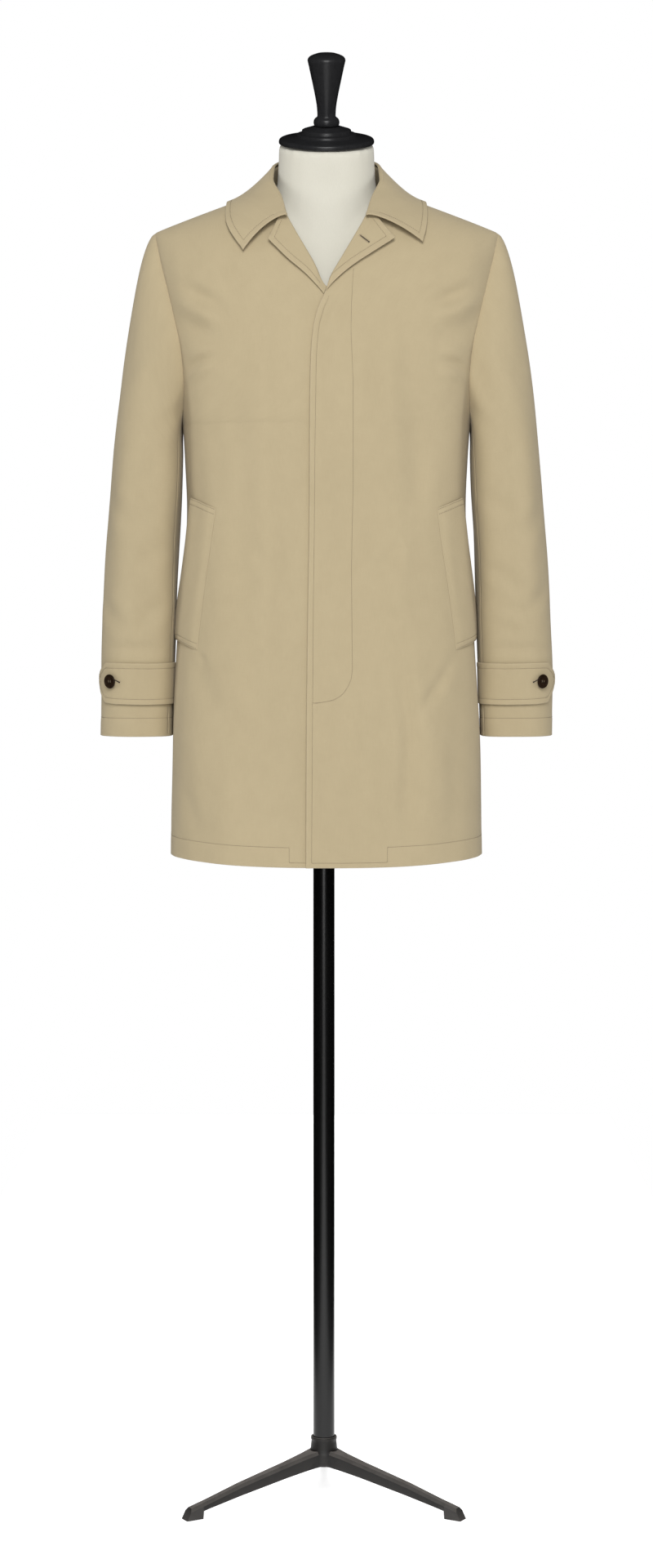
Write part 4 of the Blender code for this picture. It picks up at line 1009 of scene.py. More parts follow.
LEFT_SEWN = (hem_path(LEFT_HEM_STEP, LEFT_HEM_ROW_END, HEM_ROW_SIDE), edge_path(), FLY_LINE)
RIGHT_SEWN = (hem_path(RIGHT_HEM_STEP, RIGHT_HEM_ROW_END, -HEM_ROW_SIDE),)


def seam_calm(from_middle, level, column, side_seam):
    """How much of the creases and of the slack is left toward the seams of the body."""
    limit = np.where(level < 1, np.radians(side_seam), armhole_angle(column, np.clip(level - 1, 0, 1)))
    near = eased(np.clip((limit - np.abs(from_middle)) * BODY_RADIUS / SEAM_CALM_REACH, 0, 1))
    top = np.clip((2 - level) / SHOULDER_CALM, 0, 1)
    loose = near + (1 - near) * np.clip((1 - level) / UNDERARM_CALM, 0, 1)
    return near * top, loose * top


def front_skin(side, angle, level, off=0.0, sewn=True):
    """Outer face of a front with its lap, creases and grooves, and the plain surface's normals."""
    point = coat_surface(side * angle, level)
    normal = outward(coat_surface, side * angle, level)
    x = point[..., 0]
    z = point[..., 2]
    crease_share, slack_share = seam_calm(angle, level, "front_angle", SIDE_SEAM)
    height = off + creases(FRONT_CREASES, x, z) * crease_share
    height = height + slack(BODY_SLACK, side * angle, z) * slack_share
    if side > 0:
        height = height + lap_lift(x)
    if sewn:
        for path in (LEFT_SEWN if side > 0 else RIGHT_SEWN):
            height = height + stitch_groove(off_line(path, x, z), x + z)
    return point + normal * height[..., None], normal


def back_skin(angle, level):
    """Outer face of the back with its creases and its hem's groove, and the plain surface's normals."""
    point = coat_surface(angle, level)
    normal = outward(coat_surface, angle, level)
    x = point[..., 0]
    z = point[..., 2]
    crease_share, slack_share = seam_calm(angle - np.pi, level, "back_angle", 180 - SIDE_SEAM)
    height = creases(BACK_CREASES, x, z) * crease_share + slack(BODY_SLACK, angle, z) * slack_share
    height = height + stitch_groove(np.abs(z - hem(angle) - HEM_STITCH), x)
    return point + normal * height[..., None], normal


def sleeve_skin(side, place, level, off=0.0):
    """Outer face of a sleeve; the right one is made on the left and mirrored."""
    point = sleeve_surface(place, level)
    normal = outward(sleeve_surface, place, np.minimum(level, SKIN_LEVEL))
    z = point[..., 2]
    rows = LEFT_SLEEVE_CREASES if side > 0 else RIGHT_SLEEVE_CREASES
    calm = np.clip((2 - level) / ARMHOLE_CALM, 0, 1)
    height = creases(rows_across(rows), place * SLEEVE_SPAN, z)
    height = (height + slack(SLEEVE_SLACK, 2 * np.pi * place + side, z)) * calm + off
    height = height + stitch_groove(np.abs(z - CUFF_STITCH_HEIGHT), place * SLEEVE_SPAN)
    point = point + normal * height[..., None]
    turn = np.array((side, 1.0, 1.0))
    return point * turn, normal * turn


def rows_across(rows):
    """Sleeve creases with their shares round the sleeve turned into lengths."""
    return [(a * SLEEVE_SPAN, b, c * SLEEVE_SPAN, d, *rest) for a, b, c, d, *rest in rows]


# Grids of cloth

def grid_normals(grid):
    """Unit normals of a grid whose rows go up and columns go to the wearer's left."""
    return unit(np.cross(np.gradient(grid, axis=1), np.gradient(grid, axis=0)))


def arc(grid, axis):
    """Distance along a grid's rows or columns from their start."""
    step = np.linalg.norm(np.diff(grid, axis=axis), axis=-1)
    start = np.zeros_like(np.take(step, [0], axis=axis))
    return np.concatenate((start, np.cumsum(step, axis=axis)), axis=axis)


def from_side(grid, side):
    """Distance of every point of a grid from one of its sides."""
    axis = 0 if side in ("bottom", "top") else 1
    way = arc(grid, axis)
    if side in ("top", "end"):
        way = np.take(way, [-1], axis=axis) - way
    return way


def raised(grid, side, height):
    """A grid moved along its own normals."""
    return grid + grid_normals(grid) * (side * height)[..., None]


def seam_share(grid, side):
    """How near a grid's points are to the seam on one of its sides: 1 at the seam, soon 0."""
    return np.exp(-((from_side(grid, side) / SEAM_SPREAD) ** 2))


def seam_dip(grid, sides):
    """Cloth drawn down next to the seams on some of its sides."""
    return -SEAM_DIP * np.maximum.reduce([seam_share(grid, side) for side in sides])


def armhole_dip(grid, share, mitre):
    """A grid drawn in along the armhole, in the direction that body and sleeve share."""
    return grid - mitre * (SEAM_DIP * share)[..., None]


def topstitched(grid, sides, stitch):
    """Relief of turned edges with a row of stitches along them."""
    total = np.zeros(grid.shape[:2])
    for side in sides:
        away = from_side(grid, side)
        along = arc(grid, 1 if side in ("bottom", "top") else 0)
        total += folded_edge(away, stitch) + stitch_groove(away - stitch, along)
    return total


def trimmed(points, facing, first=0.0, last=0.0):
    """A line of points with its ends cut back, in short even steps."""
    way = way_along(points)
    count = max(3, int((way[-1] - first - last) / LINE_STEP))
    places = np.linspace(first, way[-1] - last, count)
    return read_along(places, way, points), unit(read_along(places, way, facing))


def line_at(grid, side, edge, distance, first=0.0, last=0.0):
    """Line on a grid at a distance from one of its edges, with the normals along it."""
    facing = grid_normals(grid) * side
    way = from_side(grid, edge)
    sheets = [grid, facing, way[..., None]]
    if edge in ("bottom", "top"):
        sheets = [np.swapaxes(s, 0, 1) for s in sheets]
    if edge in ("top", "end"):
        sheets = [s[:, ::-1] for s in sheets]
    line = []
    for points, normals, far in zip(*sheets):
        columns = (*points.T, *normals.T)
        line.append([np.interp(distance, far[:, 0], c) for c in columns])
    line = np.array(line)
    return trimmed(line[:, :3], line[:, 3:], first, last)


def grid_rim(rows, columns):
    """Rows and columns of the points once round the rim of a grid."""
    rim = [(0, j) for j in range(columns)]
    rim += [(i, columns - 1) for i in range(1, rows)]
    rim += [(rows - 1, j) for j in range(columns - 2, -1, -1)]
    rim += [(i, 0) for i in range(rows - 2, 0, -1)]
    return np.array(rim)


def grid_faces(rows, columns, first, flip):
    """Corners of a grid's four-sided faces."""
    corner = (np.arange(rows - 1)[:, None] * columns + np.arange(columns - 1)[None, :]).ravel() + first
    faces = np.stack((corner, corner + 1, corner + columns + 1, corner + columns), axis=-1)
    return faces[:, ::-1] if flip else faces


def link_mesh(name, points, faces):
    """A mesh object at the origin, smooth all over."""
    mesh = bpy.data.meshes.new(name)
    placed = np.asarray(points) + np.array((0.0, CENTRE_Y, 0.0))
    mesh.from_pydata(placed.tolist(), [], faces)
    mesh.polygons.foreach_set("use_smooth", [True] * len(mesh.polygons))
    mesh.update()
    thing = bpy.data.objects.new(name, mesh)
    bpy.context.scene.collection.objects.link(thing)
    return thing


def cloth_sheet(name, grid, side, free, wall=WALL):
    """A closed sheet: outer face, inner face and a rim that is round where the edge is free."""
    wall = np.broadcast_to(np.asarray(wall, float), grid.shape[:2])[..., None]
    if side < 0:
        grid = grid[:, ::-1]
        wall = wall[:, ::-1]
        other = {"start": "end", "end": "start"}
        free = tuple(other.get(word, word) for word in free)
    rows, columns = grid.shape[:2]
    count = rows * columns
    normal = grid_normals(grid)
    inner = grid - normal * wall
    out = np.zeros(grid.shape)
    ends = {
        "bottom": (np.s_[0, :], np.s_[1, :]),
        "top": (np.s_[-1, :], np.s_[-2, :]),
        "start": (np.s_[:, 0], np.s_[:, 1]),
        "end": (np.s_[:, -1], np.s_[:, -2]),
    }
    for word, (edge, inside) in ends.items():
        if word in free:
            out[edge] += unit(grid[edge] - grid[inside]) * wall[edge] * RIM_ROUND
    rim = grid_rim(rows, columns)
    index = rim[:, 0] * columns + rim[:, 1]
    middle = ((grid + inner) / 2 + out)[rim[:, 0], rim[:, 1]]
    points = np.concatenate((grid.reshape(-1, 3), inner.reshape(-1, 3), middle))
    faces = np.concatenate((grid_faces(rows, columns, 0, False), grid_faces(rows, columns, count, True)))
    at = 2 * count + np.arange(len(rim))
    after = np.roll(at, -1)
    onward = np.roll(index, -1)
    rim_faces = np.concatenate((
        np.stack((onward, index, at, after), axis=-1),
        np.stack((after, at, index + count, onward + count), axis=-1),
    ))
    thing = link_mesh(name, points, np.concatenate((faces, rim_faces)).tolist())
    across = arc(grid, 1).ravel()
    up = np.broadcast_to(np.mean(arc(grid, 0), axis=1, keepdims=True), grid.shape[:2]).ravel()
    places = np.stack((across, up), axis=-1)
    places = np.concatenate((places, places, places[index]))
    nearest = np.minimum.reduce([from_side(grid, word) for word in ends]).ravel()
    nearest = np.concatenate((nearest, nearest, np.zeros(len(rim))))
    mesh = thing.data
    corners = np.zeros(len(mesh.loops), np.int32)
    mesh.loops.foreach_get("vertex_index", corners)
    mesh.uv_layers.new(name="cut").data.foreach_set("uv", places[corners].astype(np.float32).ravel())
    mesh.attributes.new("from_edge", "FLOAT", "POINT").data.foreach_set("value", nearest.astype(np.float32))
    return thing


def cut_size(grid):
    """Width, length and area of a sheet laid flat."""
    first = np.cross(grid[1:, 1:] - grid[:-1, :-1], grid[1:, :-1] - grid[:-1, 1:])
    area = float(np.sum(np.linalg.norm(first, axis=-1)) / 2)
    width = float(np.max(arc(grid, 1)[:, -1]))
    length = float(np.max(arc(grid, 0)[-1]))
    return width, length, area


# Pieces of the coat

UP = np.array((0.0, 0.0, 1.0))
ALL_ROUND = ("start", "end", "top", "bottom")
sewing_runs = []
bar_runs = []
slit_grids = []
coat_pieces = {}


def keep_cloth(node, grid, side, free, held, rests_on, wall=WALL):
    """Make a sheet for a node and note how it is held."""
    piece = cloth_sheet(node + "_cloth", grid, side, free, wall)
    coat_pieces[node] = (piece, cut_size(grid), held, rests_on)


def front_line(side, path):
    """A line of places across and up, as points on a front's form in short even steps."""
    path = np.array(path)
    angle, level = coat_place(path[:, 0], path[:, 1])
    return trimmed(*front_skin(side, side * angle, level))[0]


def laid_on(grid, side, points):
    """Points moved onto the outer face of a sheet, with its normals there."""
    faces = grid_faces(*grid.shape[:2], 0, side < 0)
    tree = BVHTree.FromPolygons(grid.reshape(-1, 3).tolist(), faces.tolist())
    hits = [tree.find_nearest(Vector(point)) for point in points]
    return np.array([tuple(hit[0]) for hit in hits]), np.array([tuple(hit[1]) for hit in hits])


def make_front(word, side, edge):
    """A front with its folded edge, its hem and its rows of stitches."""
    levels = BODY_LEVELS
    start = front_edge(edge, levels)
    rise = np.clip(levels - 1, 0, 1)
    seam = np.where(levels < 1, np.radians(SIDE_SEAM), armhole_angle("front_angle", rise))
    angles = start[:, None] + (seam - start)[:, None] * FRONT_COLUMNS
    levels = np.broadcast_to(levels[:, None], angles.shape)
    grid, _ = front_skin(side, angles, levels)
    armhole = seam_share(grid, "end") * (levels >= 1)
    height = seam_dip(grid, ("end", "top")) * (1 - armhole)
    if side > 0:
        below_lapel = np.clip((LAPEL_FOOT - grid[..., 2]) / LAPEL_FOOT_RUN, 0, 1)
        away = from_side(grid, "start")
        height += folded_edge(away, EDGE_STITCH) * below_lapel
        height += EDGE_LIFT * np.exp(-(away / EDGE_LIFT_REACH) ** 2) * below_lapel
    height += folded_edge(from_side(grid, "bottom"), HEM_STITCH)
    grid = raised(grid, side, height)
    mitre = np.zeros((len(BODY_LEVELS), 1, 3))
    mitre[-len(RISES):, 0] = ARMHOLE_MITRE[:len(RISES)] * (side, 1.0, 1.0)
    grid = armhole_dip(grid, armhole, mitre)
    keep_cloth("front_" + word, grid, side, ("start", "bottom"), "hung", ["dress_form_cover"])
    for path in (LEFT_SEWN if side > 0 else RIGHT_SEWN):
        sewing_runs.append(laid_on(grid, side, front_line(side, path)))
    return grid


def make_back():
    """The back in one piece; its top row runs along both shoulders and the neck."""
    shares = spread(BACK_HALF_WIDTH, GRID_STEP, (), NARROW)
    across = SHOULDER_HALF * around(armhole_angle("back_angle", 1.0) * shares)[0]
    top = np.where(across < NECK_SIDE_X, BACK_NECK.at("rise", across), 1.0)
    levels = BODY_LEVELS[:, None]
    level = 1 + (levels - 1) * np.where(levels > 1, top, 1.0)
    rise = np.clip(BODY_LEVELS - 1, 0, 1)
    seam = np.where(BODY_LEVELS < 1, np.radians(180 - SIDE_SEAM), armhole_angle("back_angle", rise))
    from_middle = seam[:, None] * shares
    angles = np.concatenate((np.pi - from_middle[:, ::-1], np.pi + from_middle[:, 1:]), axis=1)
    levels = np.concatenate((level[:, ::-1], level[:, 1:]), axis=1)
    grid, _ = back_skin(angles, levels)
    beside = {side: seam_share(grid, side) * (BODY_LEVELS >= 1)[:, None] for side in ("start", "end")}
    height = seam_dip(grid, ("start", "end", "top")) * (1 - beside["start"]) * (1 - beside["end"])
    height += folded_edge(from_side(grid, "bottom"), HEM_STITCH)
    grid = raised(grid, 1, height)
    mitre = np.zeros((len(BODY_LEVELS), 1, 3))
    mitre[-len(RISES):, 0] = ARMHOLE_MITRE[:len(RISES) - 2:-1]
    grid = armhole_dip(grid, beside["start"], mitre)
    grid = armhole_dip(grid, beside["end"], mitre * (-1.0, 1.0, 1.0))
    keep_cloth("back", grid, 1, ("bottom",), "hung", ["dress_form_cover"])
    sewing_runs.append(line_at(grid, 1, "bottom", HEM_STITCH))


def make_sleeve(word, side):
    """Top and under sleeve, which meet at a front and a back seam."""
    low = spread(ARM_LENGTH, GRID_STEP, HEMMED, ())
    high = 1 + spread(SLEEVE_HEAD_LENGTH, GRID_STEP, (), NARROW)
    levels = np.concatenate((low[:-1], high))[:, None]
    cuff_stitch = CUFF_STITCH_HEIGHT - SLEEVE.rows[0, 0]
    held_by = ["front_" + word + "_cloth", "back_cloth"]
    spans = {
        "top_sleeve_": (FRONT_SEAM_PLACE, BACK_SEAM_PLACE, TOP_SLEEVE_WIDTH),
        "under_sleeve_": (BACK_SEAM_PLACE, 1 + FRONT_SEAM_PLACE, UNDER_SLEEVE_WIDTH),
    }
    for name, (first, last, width) in spans.items():
        place = (first + (last - first) * spread(width, GRID_STEP))[None, :]
        place, level = np.broadcast_arrays(place, levels)
        grid, _ = sleeve_skin(side, place, level)
        armhole = seam_share(grid, "top")
        height = seam_dip(grid, ("start", "end")) * (1 - armhole)
        height += folded_edge(from_side(grid, "bottom"), cuff_stitch)
        grid = raised(grid, side, height)
        mitre = read_along(place % 1.0, ARMHOLE_PLACES, ARMHOLE_MITRE)
        grid = armhole_dip(grid, armhole, mitre * (side, 1.0, 1.0))
        keep_cloth(name + word, grid, side, ("bottom",), "hung", held_by)
        sewing_runs.append(line_at(grid, side, "bottom", cuff_stitch))


def toward_neck(points):
    """Level directions from points round the neck to its middle."""
    inward = -points
    inward[:, 2] = 0
    return unit(inward)


def make_collar():
    """The fall, from its free edge up to the roll and a little way over it."""
    shares = spread(COLLAR_LENGTH, COLLAR_STEP, TOPSTITCHED, TOPSTITCHED)
    rows = []
    for t in 1 - spread(COLLAR_FALL, COLLAR_FALL_STEP, TOPSTITCHED, COLLAR_ROLL_LINES):
        start = FRONT_BOW * math.sin(math.pi * max(t, 0.0) ** FRONT_BOW_POWER)
        rows.append(collar_fall(start + (2 - 2 * start) * shares, t))
    roll = collar_roll(2 * shares)
    inward = toward_neck(roll)
    for turn in np.radians(COLLAR_TURNS):
        over = inward * COLLAR_ROLL_IN * (1 - math.cos(turn))
        rows.append(roll + over + UP * COLLAR_ROLL_UP * math.sin(turn))
    grid = np.array(rows)
    fall = arc(grid, 0)
    along = arc(grid, 1)
    swell = np.sin(along * COLLAR_SWELL_ALONG + COLLAR_SWELL_SHIFT) * np.sin(fall * COLLAR_SWELL_DOWN)
    soft = COLLAR_SWELL * swell
    soft += COLLAR_RIPPLE * np.sin(along * COLLAR_RIPPLE_ALONG + fall * COLLAR_RIPPLE_DOWN)
    grid = raised(grid, 1, topstitched(grid, ("bottom", "start", "end"), COLLAR_STITCH) + soft)
    rests_on = ["collar_stand_cloth", "front_left_cloth", "front_right_cloth", "back_cloth"]
    keep_cloth("collar", grid, 1, ALL_ROUND, "folded", rests_on, DOUBLE_WALL)
    sewing_runs.append(line_at(grid, 1, "bottom", COLLAR_STITCH, COLLAR_STITCH, COLLAR_STITCH))
    for edge in ("start", "end"):
        sewing_runs.append(line_at(grid, 1, edge, COLLAR_STITCH, COLLAR_STITCH, COLLAR_ROW_END))


def make_stand():
    """The band between the neck seam and the roll."""
    places = STAND_FROM + (2 - 2 * STAND_FROM) * np.linspace(0, 1, STAND_COLUMNS)
    along, side = collar_side(places)
    seam = neck_seam(along)
    seam[..., 0] *= side
    roll = collar_roll(places)
    inward = toward_neck(roll)
    tuck = STAND_TUCK + STAND_TUCK_FRONT * np.clip(1 - along / COLLAR_SHOULDER, 0, 1)
    low = seam + inward * tuck[:, None] + UP * STAND_FOOT_UP
    high = roll + inward * STAND_TOP_IN - UP * STAND_TOP_DOWN
    grid = np.array([low + (high - low) * t for t in np.linspace(0, 1, STAND_ROWS)])
    keep_cloth("collar_stand", grid, 1, ("top", "start", "end"), "stretched", ["back_cloth"])


def make_lapel(word, side, edge, lapel, roll_low):
    """The turned-back top of a front edge, folded over its roll line."""
    along = lapel.rows[0, 0] + (1 - lapel.rows[0, 0]) * spread(LAPEL_LENGTH, LAPEL_STEP, NARROW, TOPSTITCHED)
    rolled = np.clip((along - along[0]) / ROLL_GROWS, 0, 1)
    rolled = ROLL_LEAST + eased(rolled, 1 - ROLL_LEAST)
    roll_z = roll_low + (LAPEL_ROLL_HIGH - roll_low) * along
    roll_x = edge.at("across", roll_z)
    edge_x = lapel.at("edge_x", along)
    edge_z = lapel.at("edge_z", along)
    lift = lapel.at("lift", along)
    angle, level = coat_place(roll_x, roll_z)
    root, normal = front_skin(side, angle, level, sewn=False)
    inside, _ = front_skin(side, angle + LAPEL_PROBE, level, sewn=False)
    tangent = unit(np.gradient(root, axis=0))
    off = root - inside
    off = unit(off - tangent * np.sum(off * tangent, axis=-1, keepdims=True))
    columns = []
    for turn in np.radians(LAPEL_TURNS):
        out = off * ROLL_OUT * math.cos(turn)
        up = normal * (ROLL_MIDDLE + ROLL_UP * math.sin(turn))
        columns.append(root + (out + up) * rolled[:, None])
    top = (ROLL_MIDDLE + ROLL_UP) * rolled
    for share in spread(LAPEL_WIDTH, LAPEL_STEP, LAPEL_ROLL_LINES, TOPSTITCHED)[1:]:
        x = roll_x + (edge_x - roll_x) * share
        z = roll_z + (edge_z - roll_z) * share
        angle, level = coat_place(x, z)
        columns.append(front_skin(side, angle, level, top + (lift - top) * share, sewn=False)[0])
    grid = np.stack(columns, axis=1)
    sewn = np.clip((along + LAPEL_STITCH_FROM) / LAPEL_STITCH_RUN, 0, 1)[:, None]
    height = topstitched(grid, ("end",), COLLAR_STITCH) * sewn
    height += topstitched(grid, ("top",), COLLAR_STITCH)
    grid = raised(grid, side, height)
    wall = WALL * rolled[:, None]
    keep_cloth("lapel_" + word, grid, side, ALL_ROUND, "folded", ["front_" + word + "_cloth"], wall)
    sewing_runs.append(line_at(grid, side, "end", COLLAR_STITCH, LAPEL_ROW_FOOT, COLLAR_STITCH))
    sewing_runs.append(line_at(grid, side, "top", COLLAR_STITCH, LAPEL_TOP_ROW_START, COLLAR_STITCH))
    return grid


def make_welt(word, side):
    """A pocket welt, sewn flush along its front edge, stitched across both ends and free behind."""
    along = 1 - spread(WELT_LENGTH, WELT_STEP, TOPSTITCHED, TOPSTITCHED)[:, None]
    share = spread(WELT_WIDTH, WELT_CROSS_STEP, WELT_LINES, WELT_LINES)[None, :]
    x = WELT.at("front_x", along) * (1 - share) + WELT.at("free_x", along) * share
    z = WELT.at("front_z", along) * (1 - share) + WELT.at("free_z", along) * share
    angle, level = coat_place(x, z)
    up_off = 1 - np.exp(-((share * WELT_WIDTH / WELT_SEAM_REACH) ** 2))
    end = np.minimum(along, 1 - along) * WELT_LENGTH
    up_off = up_off * (1 - WELT_END_DIP * np.exp(-((end / WELT_END_REACH) ** 2)))
    wall = WELT_THIN + (WALL - WELT_THIN) * up_off
    rest = wall + WELT_OFF + WELT_RAISE * up_off + WELT.at("free_lift", along) * share**2
    grid, _ = front_skin(side, angle, level, rest, sewn=False)
    grid = raised(grid, side, topstitched(grid, ("bottom", "top"), WELT_STITCH) * up_off)
    keep_cloth("pocket_welt_" + word, grid, side, ALL_ROUND, "laid", ["front_" + word + "_cloth"], wall)
    for edge in ("bottom", "top"):
        for away in (WELT_END_ROW, WELT_STITCH):
            sewing_runs.append(line_at(grid, side, edge, away, WELT_ROW_ENDS, WELT_ROW_ENDS))


def tab_level(height):
    """Level on the sleeve at a height below its head."""
    return (height - SLEEVE.rows[0, 0]) / (SLEEVE.rows[-1, 0] - SLEEVE.rows[0, 0])


def make_tab(word, side):
    """A cuff tab laid on its sleeve, its lower edge a little loose."""
    first = TAB.rows[0, 0]
    last = TAB.rows[-1, 0]
    place = (first + (last - first) * spread(TAB_LENGTH, TAB_STEP, NARROW, TOPSTITCHED))[None, :]
    share = spread(TAB_WIDTH, TAB_STEP, TOPSTITCHED, TOPSTITCHED)[:, None]
    low = np.interp(place, TAB.rows[:, 0], TAB.rows[:, 1])
    high = np.interp(place, TAB.rows[:, 0], TAB.rows[:, 2])
    height = low + (high - low) * share
    place = np.broadcast_to(place, height.shape)
    rest = TAB_REST + WALL + TAB.at("lift", place) * (1 - share)
    grid, _ = sleeve_skin(side, place, tab_level(height), rest)
    free = ("bottom", "top", "end")
    grid = raised(grid, side, topstitched(grid, free, TAB_STITCH))
    keep_cloth("cuff_tab_" + word, grid, side, free, "laid", ["top_sleeve_" + word + "_cloth"])
    for edge in ("bottom", "top"):
        sewing_runs.append(line_at(grid, side, edge, TAB_STITCH, TAB_ROW_START, TAB_STITCH))
    sewing_runs.append(line_at(grid, side, "end", TAB_STITCH, TAB_POINT_ENDS, TAB_POINT_ENDS))
    ends = np.linspace(TAB_HOLE_FROM, TAB_HOLE_TO, HOLE_POINTS)
    line, _ = sleeve_skin(side, ends[:, 0], tab_level(ends[:, 1]), TAB_REST + WALL)
    work_buttonhole(laid_on(grid, side, line))


def bars_across(points, normals, first, last):
    """Short bars of thread across a line, from one distance aside to another."""
    line, facing = trimmed(points, normals)
    way = way_along(line)
    spots = np.arange(BAR_PITCH / 2, way[-1], BAR_PITCH)
    middle = read_along(spots, way, line)
    up = read_along(spots, way, facing)
    aside = unit(np.cross(up, read_along(spots, way, np.gradient(line, axis=0))))
    for spot, way_out, normal in zip(middle, aside, up):
        ends = np.array((spot + way_out * first, spot + way_out * last))
        bar_runs.append((ends, np.array((normal, normal))))


def work_buttonhole(line):
    """A worked buttonhole: a narrow dark strip of painted shadow for its opening, with a round end, and bars
    of thread round it.
    """
    points, normals = trimmed(*line)
    bars_across(points, normals, SLIT_BAR_OFF, SLIT_BAR_OFF + BAR_LENGTH)
    bars_across(points, normals, -SLIT_BAR_OFF - BAR_LENGTH, -SLIT_BAR_OFF)
    aside = np.cross(normals, unit(np.gradient(points, axis=0)))
    share = np.linspace(0, 1, len(points))
    half = SLIT_HALF * np.sqrt(np.clip(np.sin(np.pi * share), 0, 1))
    round_end = EYELET_RADIUS**2 - ((1 - share) * len(points) * LINE_STEP - EYELET_RADIUS) ** 2
    half = np.maximum(half, np.sqrt(np.clip(round_end, SLIT_END**2, None)))[:, None]
    middle = points + normals * SLIT_LIFT
    grid = np.stack([middle + aside * half * t for t in SLIT_ACROSS], axis=0)
    slit_grids.append(grid)


def sew(name, runs, pitch=STITCH_PITCH, length=STITCH_LENGTH, radius=THREAD_RADIUS):
    """Many small stitches along lines on the cloth, as one mesh."""
    corners = 2 * np.pi * np.arange(THREAD_SIDES) / THREAD_SIDES
    middles = []
    ways = []
    normals = []
    for points, facing in runs:
        way = way_along(points)
        count = max(1, int(way[-1] / pitch))
        spots = (np.arange(count) + 0.5) * way[-1] / count
        ahead = read_along(spots + length / 2, way, points)
        behind = read_along(spots - length / 2, way, points)
        middles.append((ahead + behind) / 2)
        ways.append(unit(ahead - behind))
        normals.append(read_along(spots, way, facing))
    middles = np.concatenate(middles)
    ways = np.concatenate(ways)
    normals = np.concatenate(normals)
    normals = unit(normals - ways * np.sum(normals * ways, axis=-1, keepdims=True))
    sides = np.cross(normals, ways)
    rings = []
    for station, girth, height in STITCH_SHAPE:
        for corner in corners:
            up = radius * (height + girth * math.cos(corner))
            aside = radius * girth * math.sin(corner)
            rings.append(middles + ways * station * length + normals * up + sides * aside)
    points = np.stack(rings, axis=1).reshape(-1, 3)
    template = []
    for ring in range(len(STITCH_SHAPE) - 1):
        for corner in range(THREAD_SIDES):
            a = ring * THREAD_SIDES + corner
            b = ring * THREAD_SIDES + (corner + 1) % THREAD_SIDES
            template.append((a, b, b + THREAD_SIDES, a + THREAD_SIDES))
    ends = list(range(len(rings)))
    caps = [ends[THREAD_SIDES - 1::-1], ends[-THREAD_SIDES:]]
    faces = []
    for count in range(len(middles)):
        first = count * len(rings)
        faces += [tuple(first + i for i in face) for face in template + caps]
    return link_mesh(name, points, faces)


def make_slits():
    """Painted shadow for the openings of all buttonholes, as one mesh of thin closed dark strips."""
    points = []
    faces = []
    for grid in slit_grids:
        rows, columns = grid.shape[:2]
        inner = grid - grid_normals(grid) * SLIT_WALL
        first = sum(len(part) for part in points)
        count = rows * columns
        points += [grid.reshape(-1, 3), inner.reshape(-1, 3)]
        faces += grid_faces(rows, columns, first, False).tolist()
        faces += grid_faces(rows, columns, first + count, True).tolist()
        index = [int(first + i * columns + j) for i, j in grid_rim(rows, columns)]
        for a, b in zip(index, index[1:] + index[:1]):
            faces.append((b, a, a + count, b + count))
    return link_mesh("buttonhole_slits", np.concatenate(points), faces)


# Shader maths

class Value:
    """A shader number that plain arithmetic works on."""

    def __init__(self, finish, socket):
        self.finish = finish
        self.socket = socket

    def reckon(self, operation, first, second=None):
        """One step of arithmetic on one or two numbers."""
        inputs = [first] if second is None else [first, second]
        return self.finish.node("ShaderNodeMath", dict(operation=operation), dict(enumerate(inputs)))

    def __add__(self, other):
        return self.reckon("ADD", self, other)

    __radd__ = __add__

    def __sub__(self, other):
        return self.reckon("SUBTRACT", self, other)

    def __rsub__(self, other):
        return self.reckon("SUBTRACT", other, self)

    def __mul__(self, other):
        return self.reckon("MULTIPLY", self, other)

    __rmul__ = __mul__

    def __truediv__(self, other):
        return self.reckon("DIVIDE", self, other)

    def __rtruediv__(self, other):
        return self.reckon("DIVIDE", other, self)

    def sine(self):
        return self.reckon("SINE", self)

    def above(self, other):
        return self.reckon("MAXIMUM", self, other)

    def below(self, other):
        return self.reckon("MINIMUM", self, other)


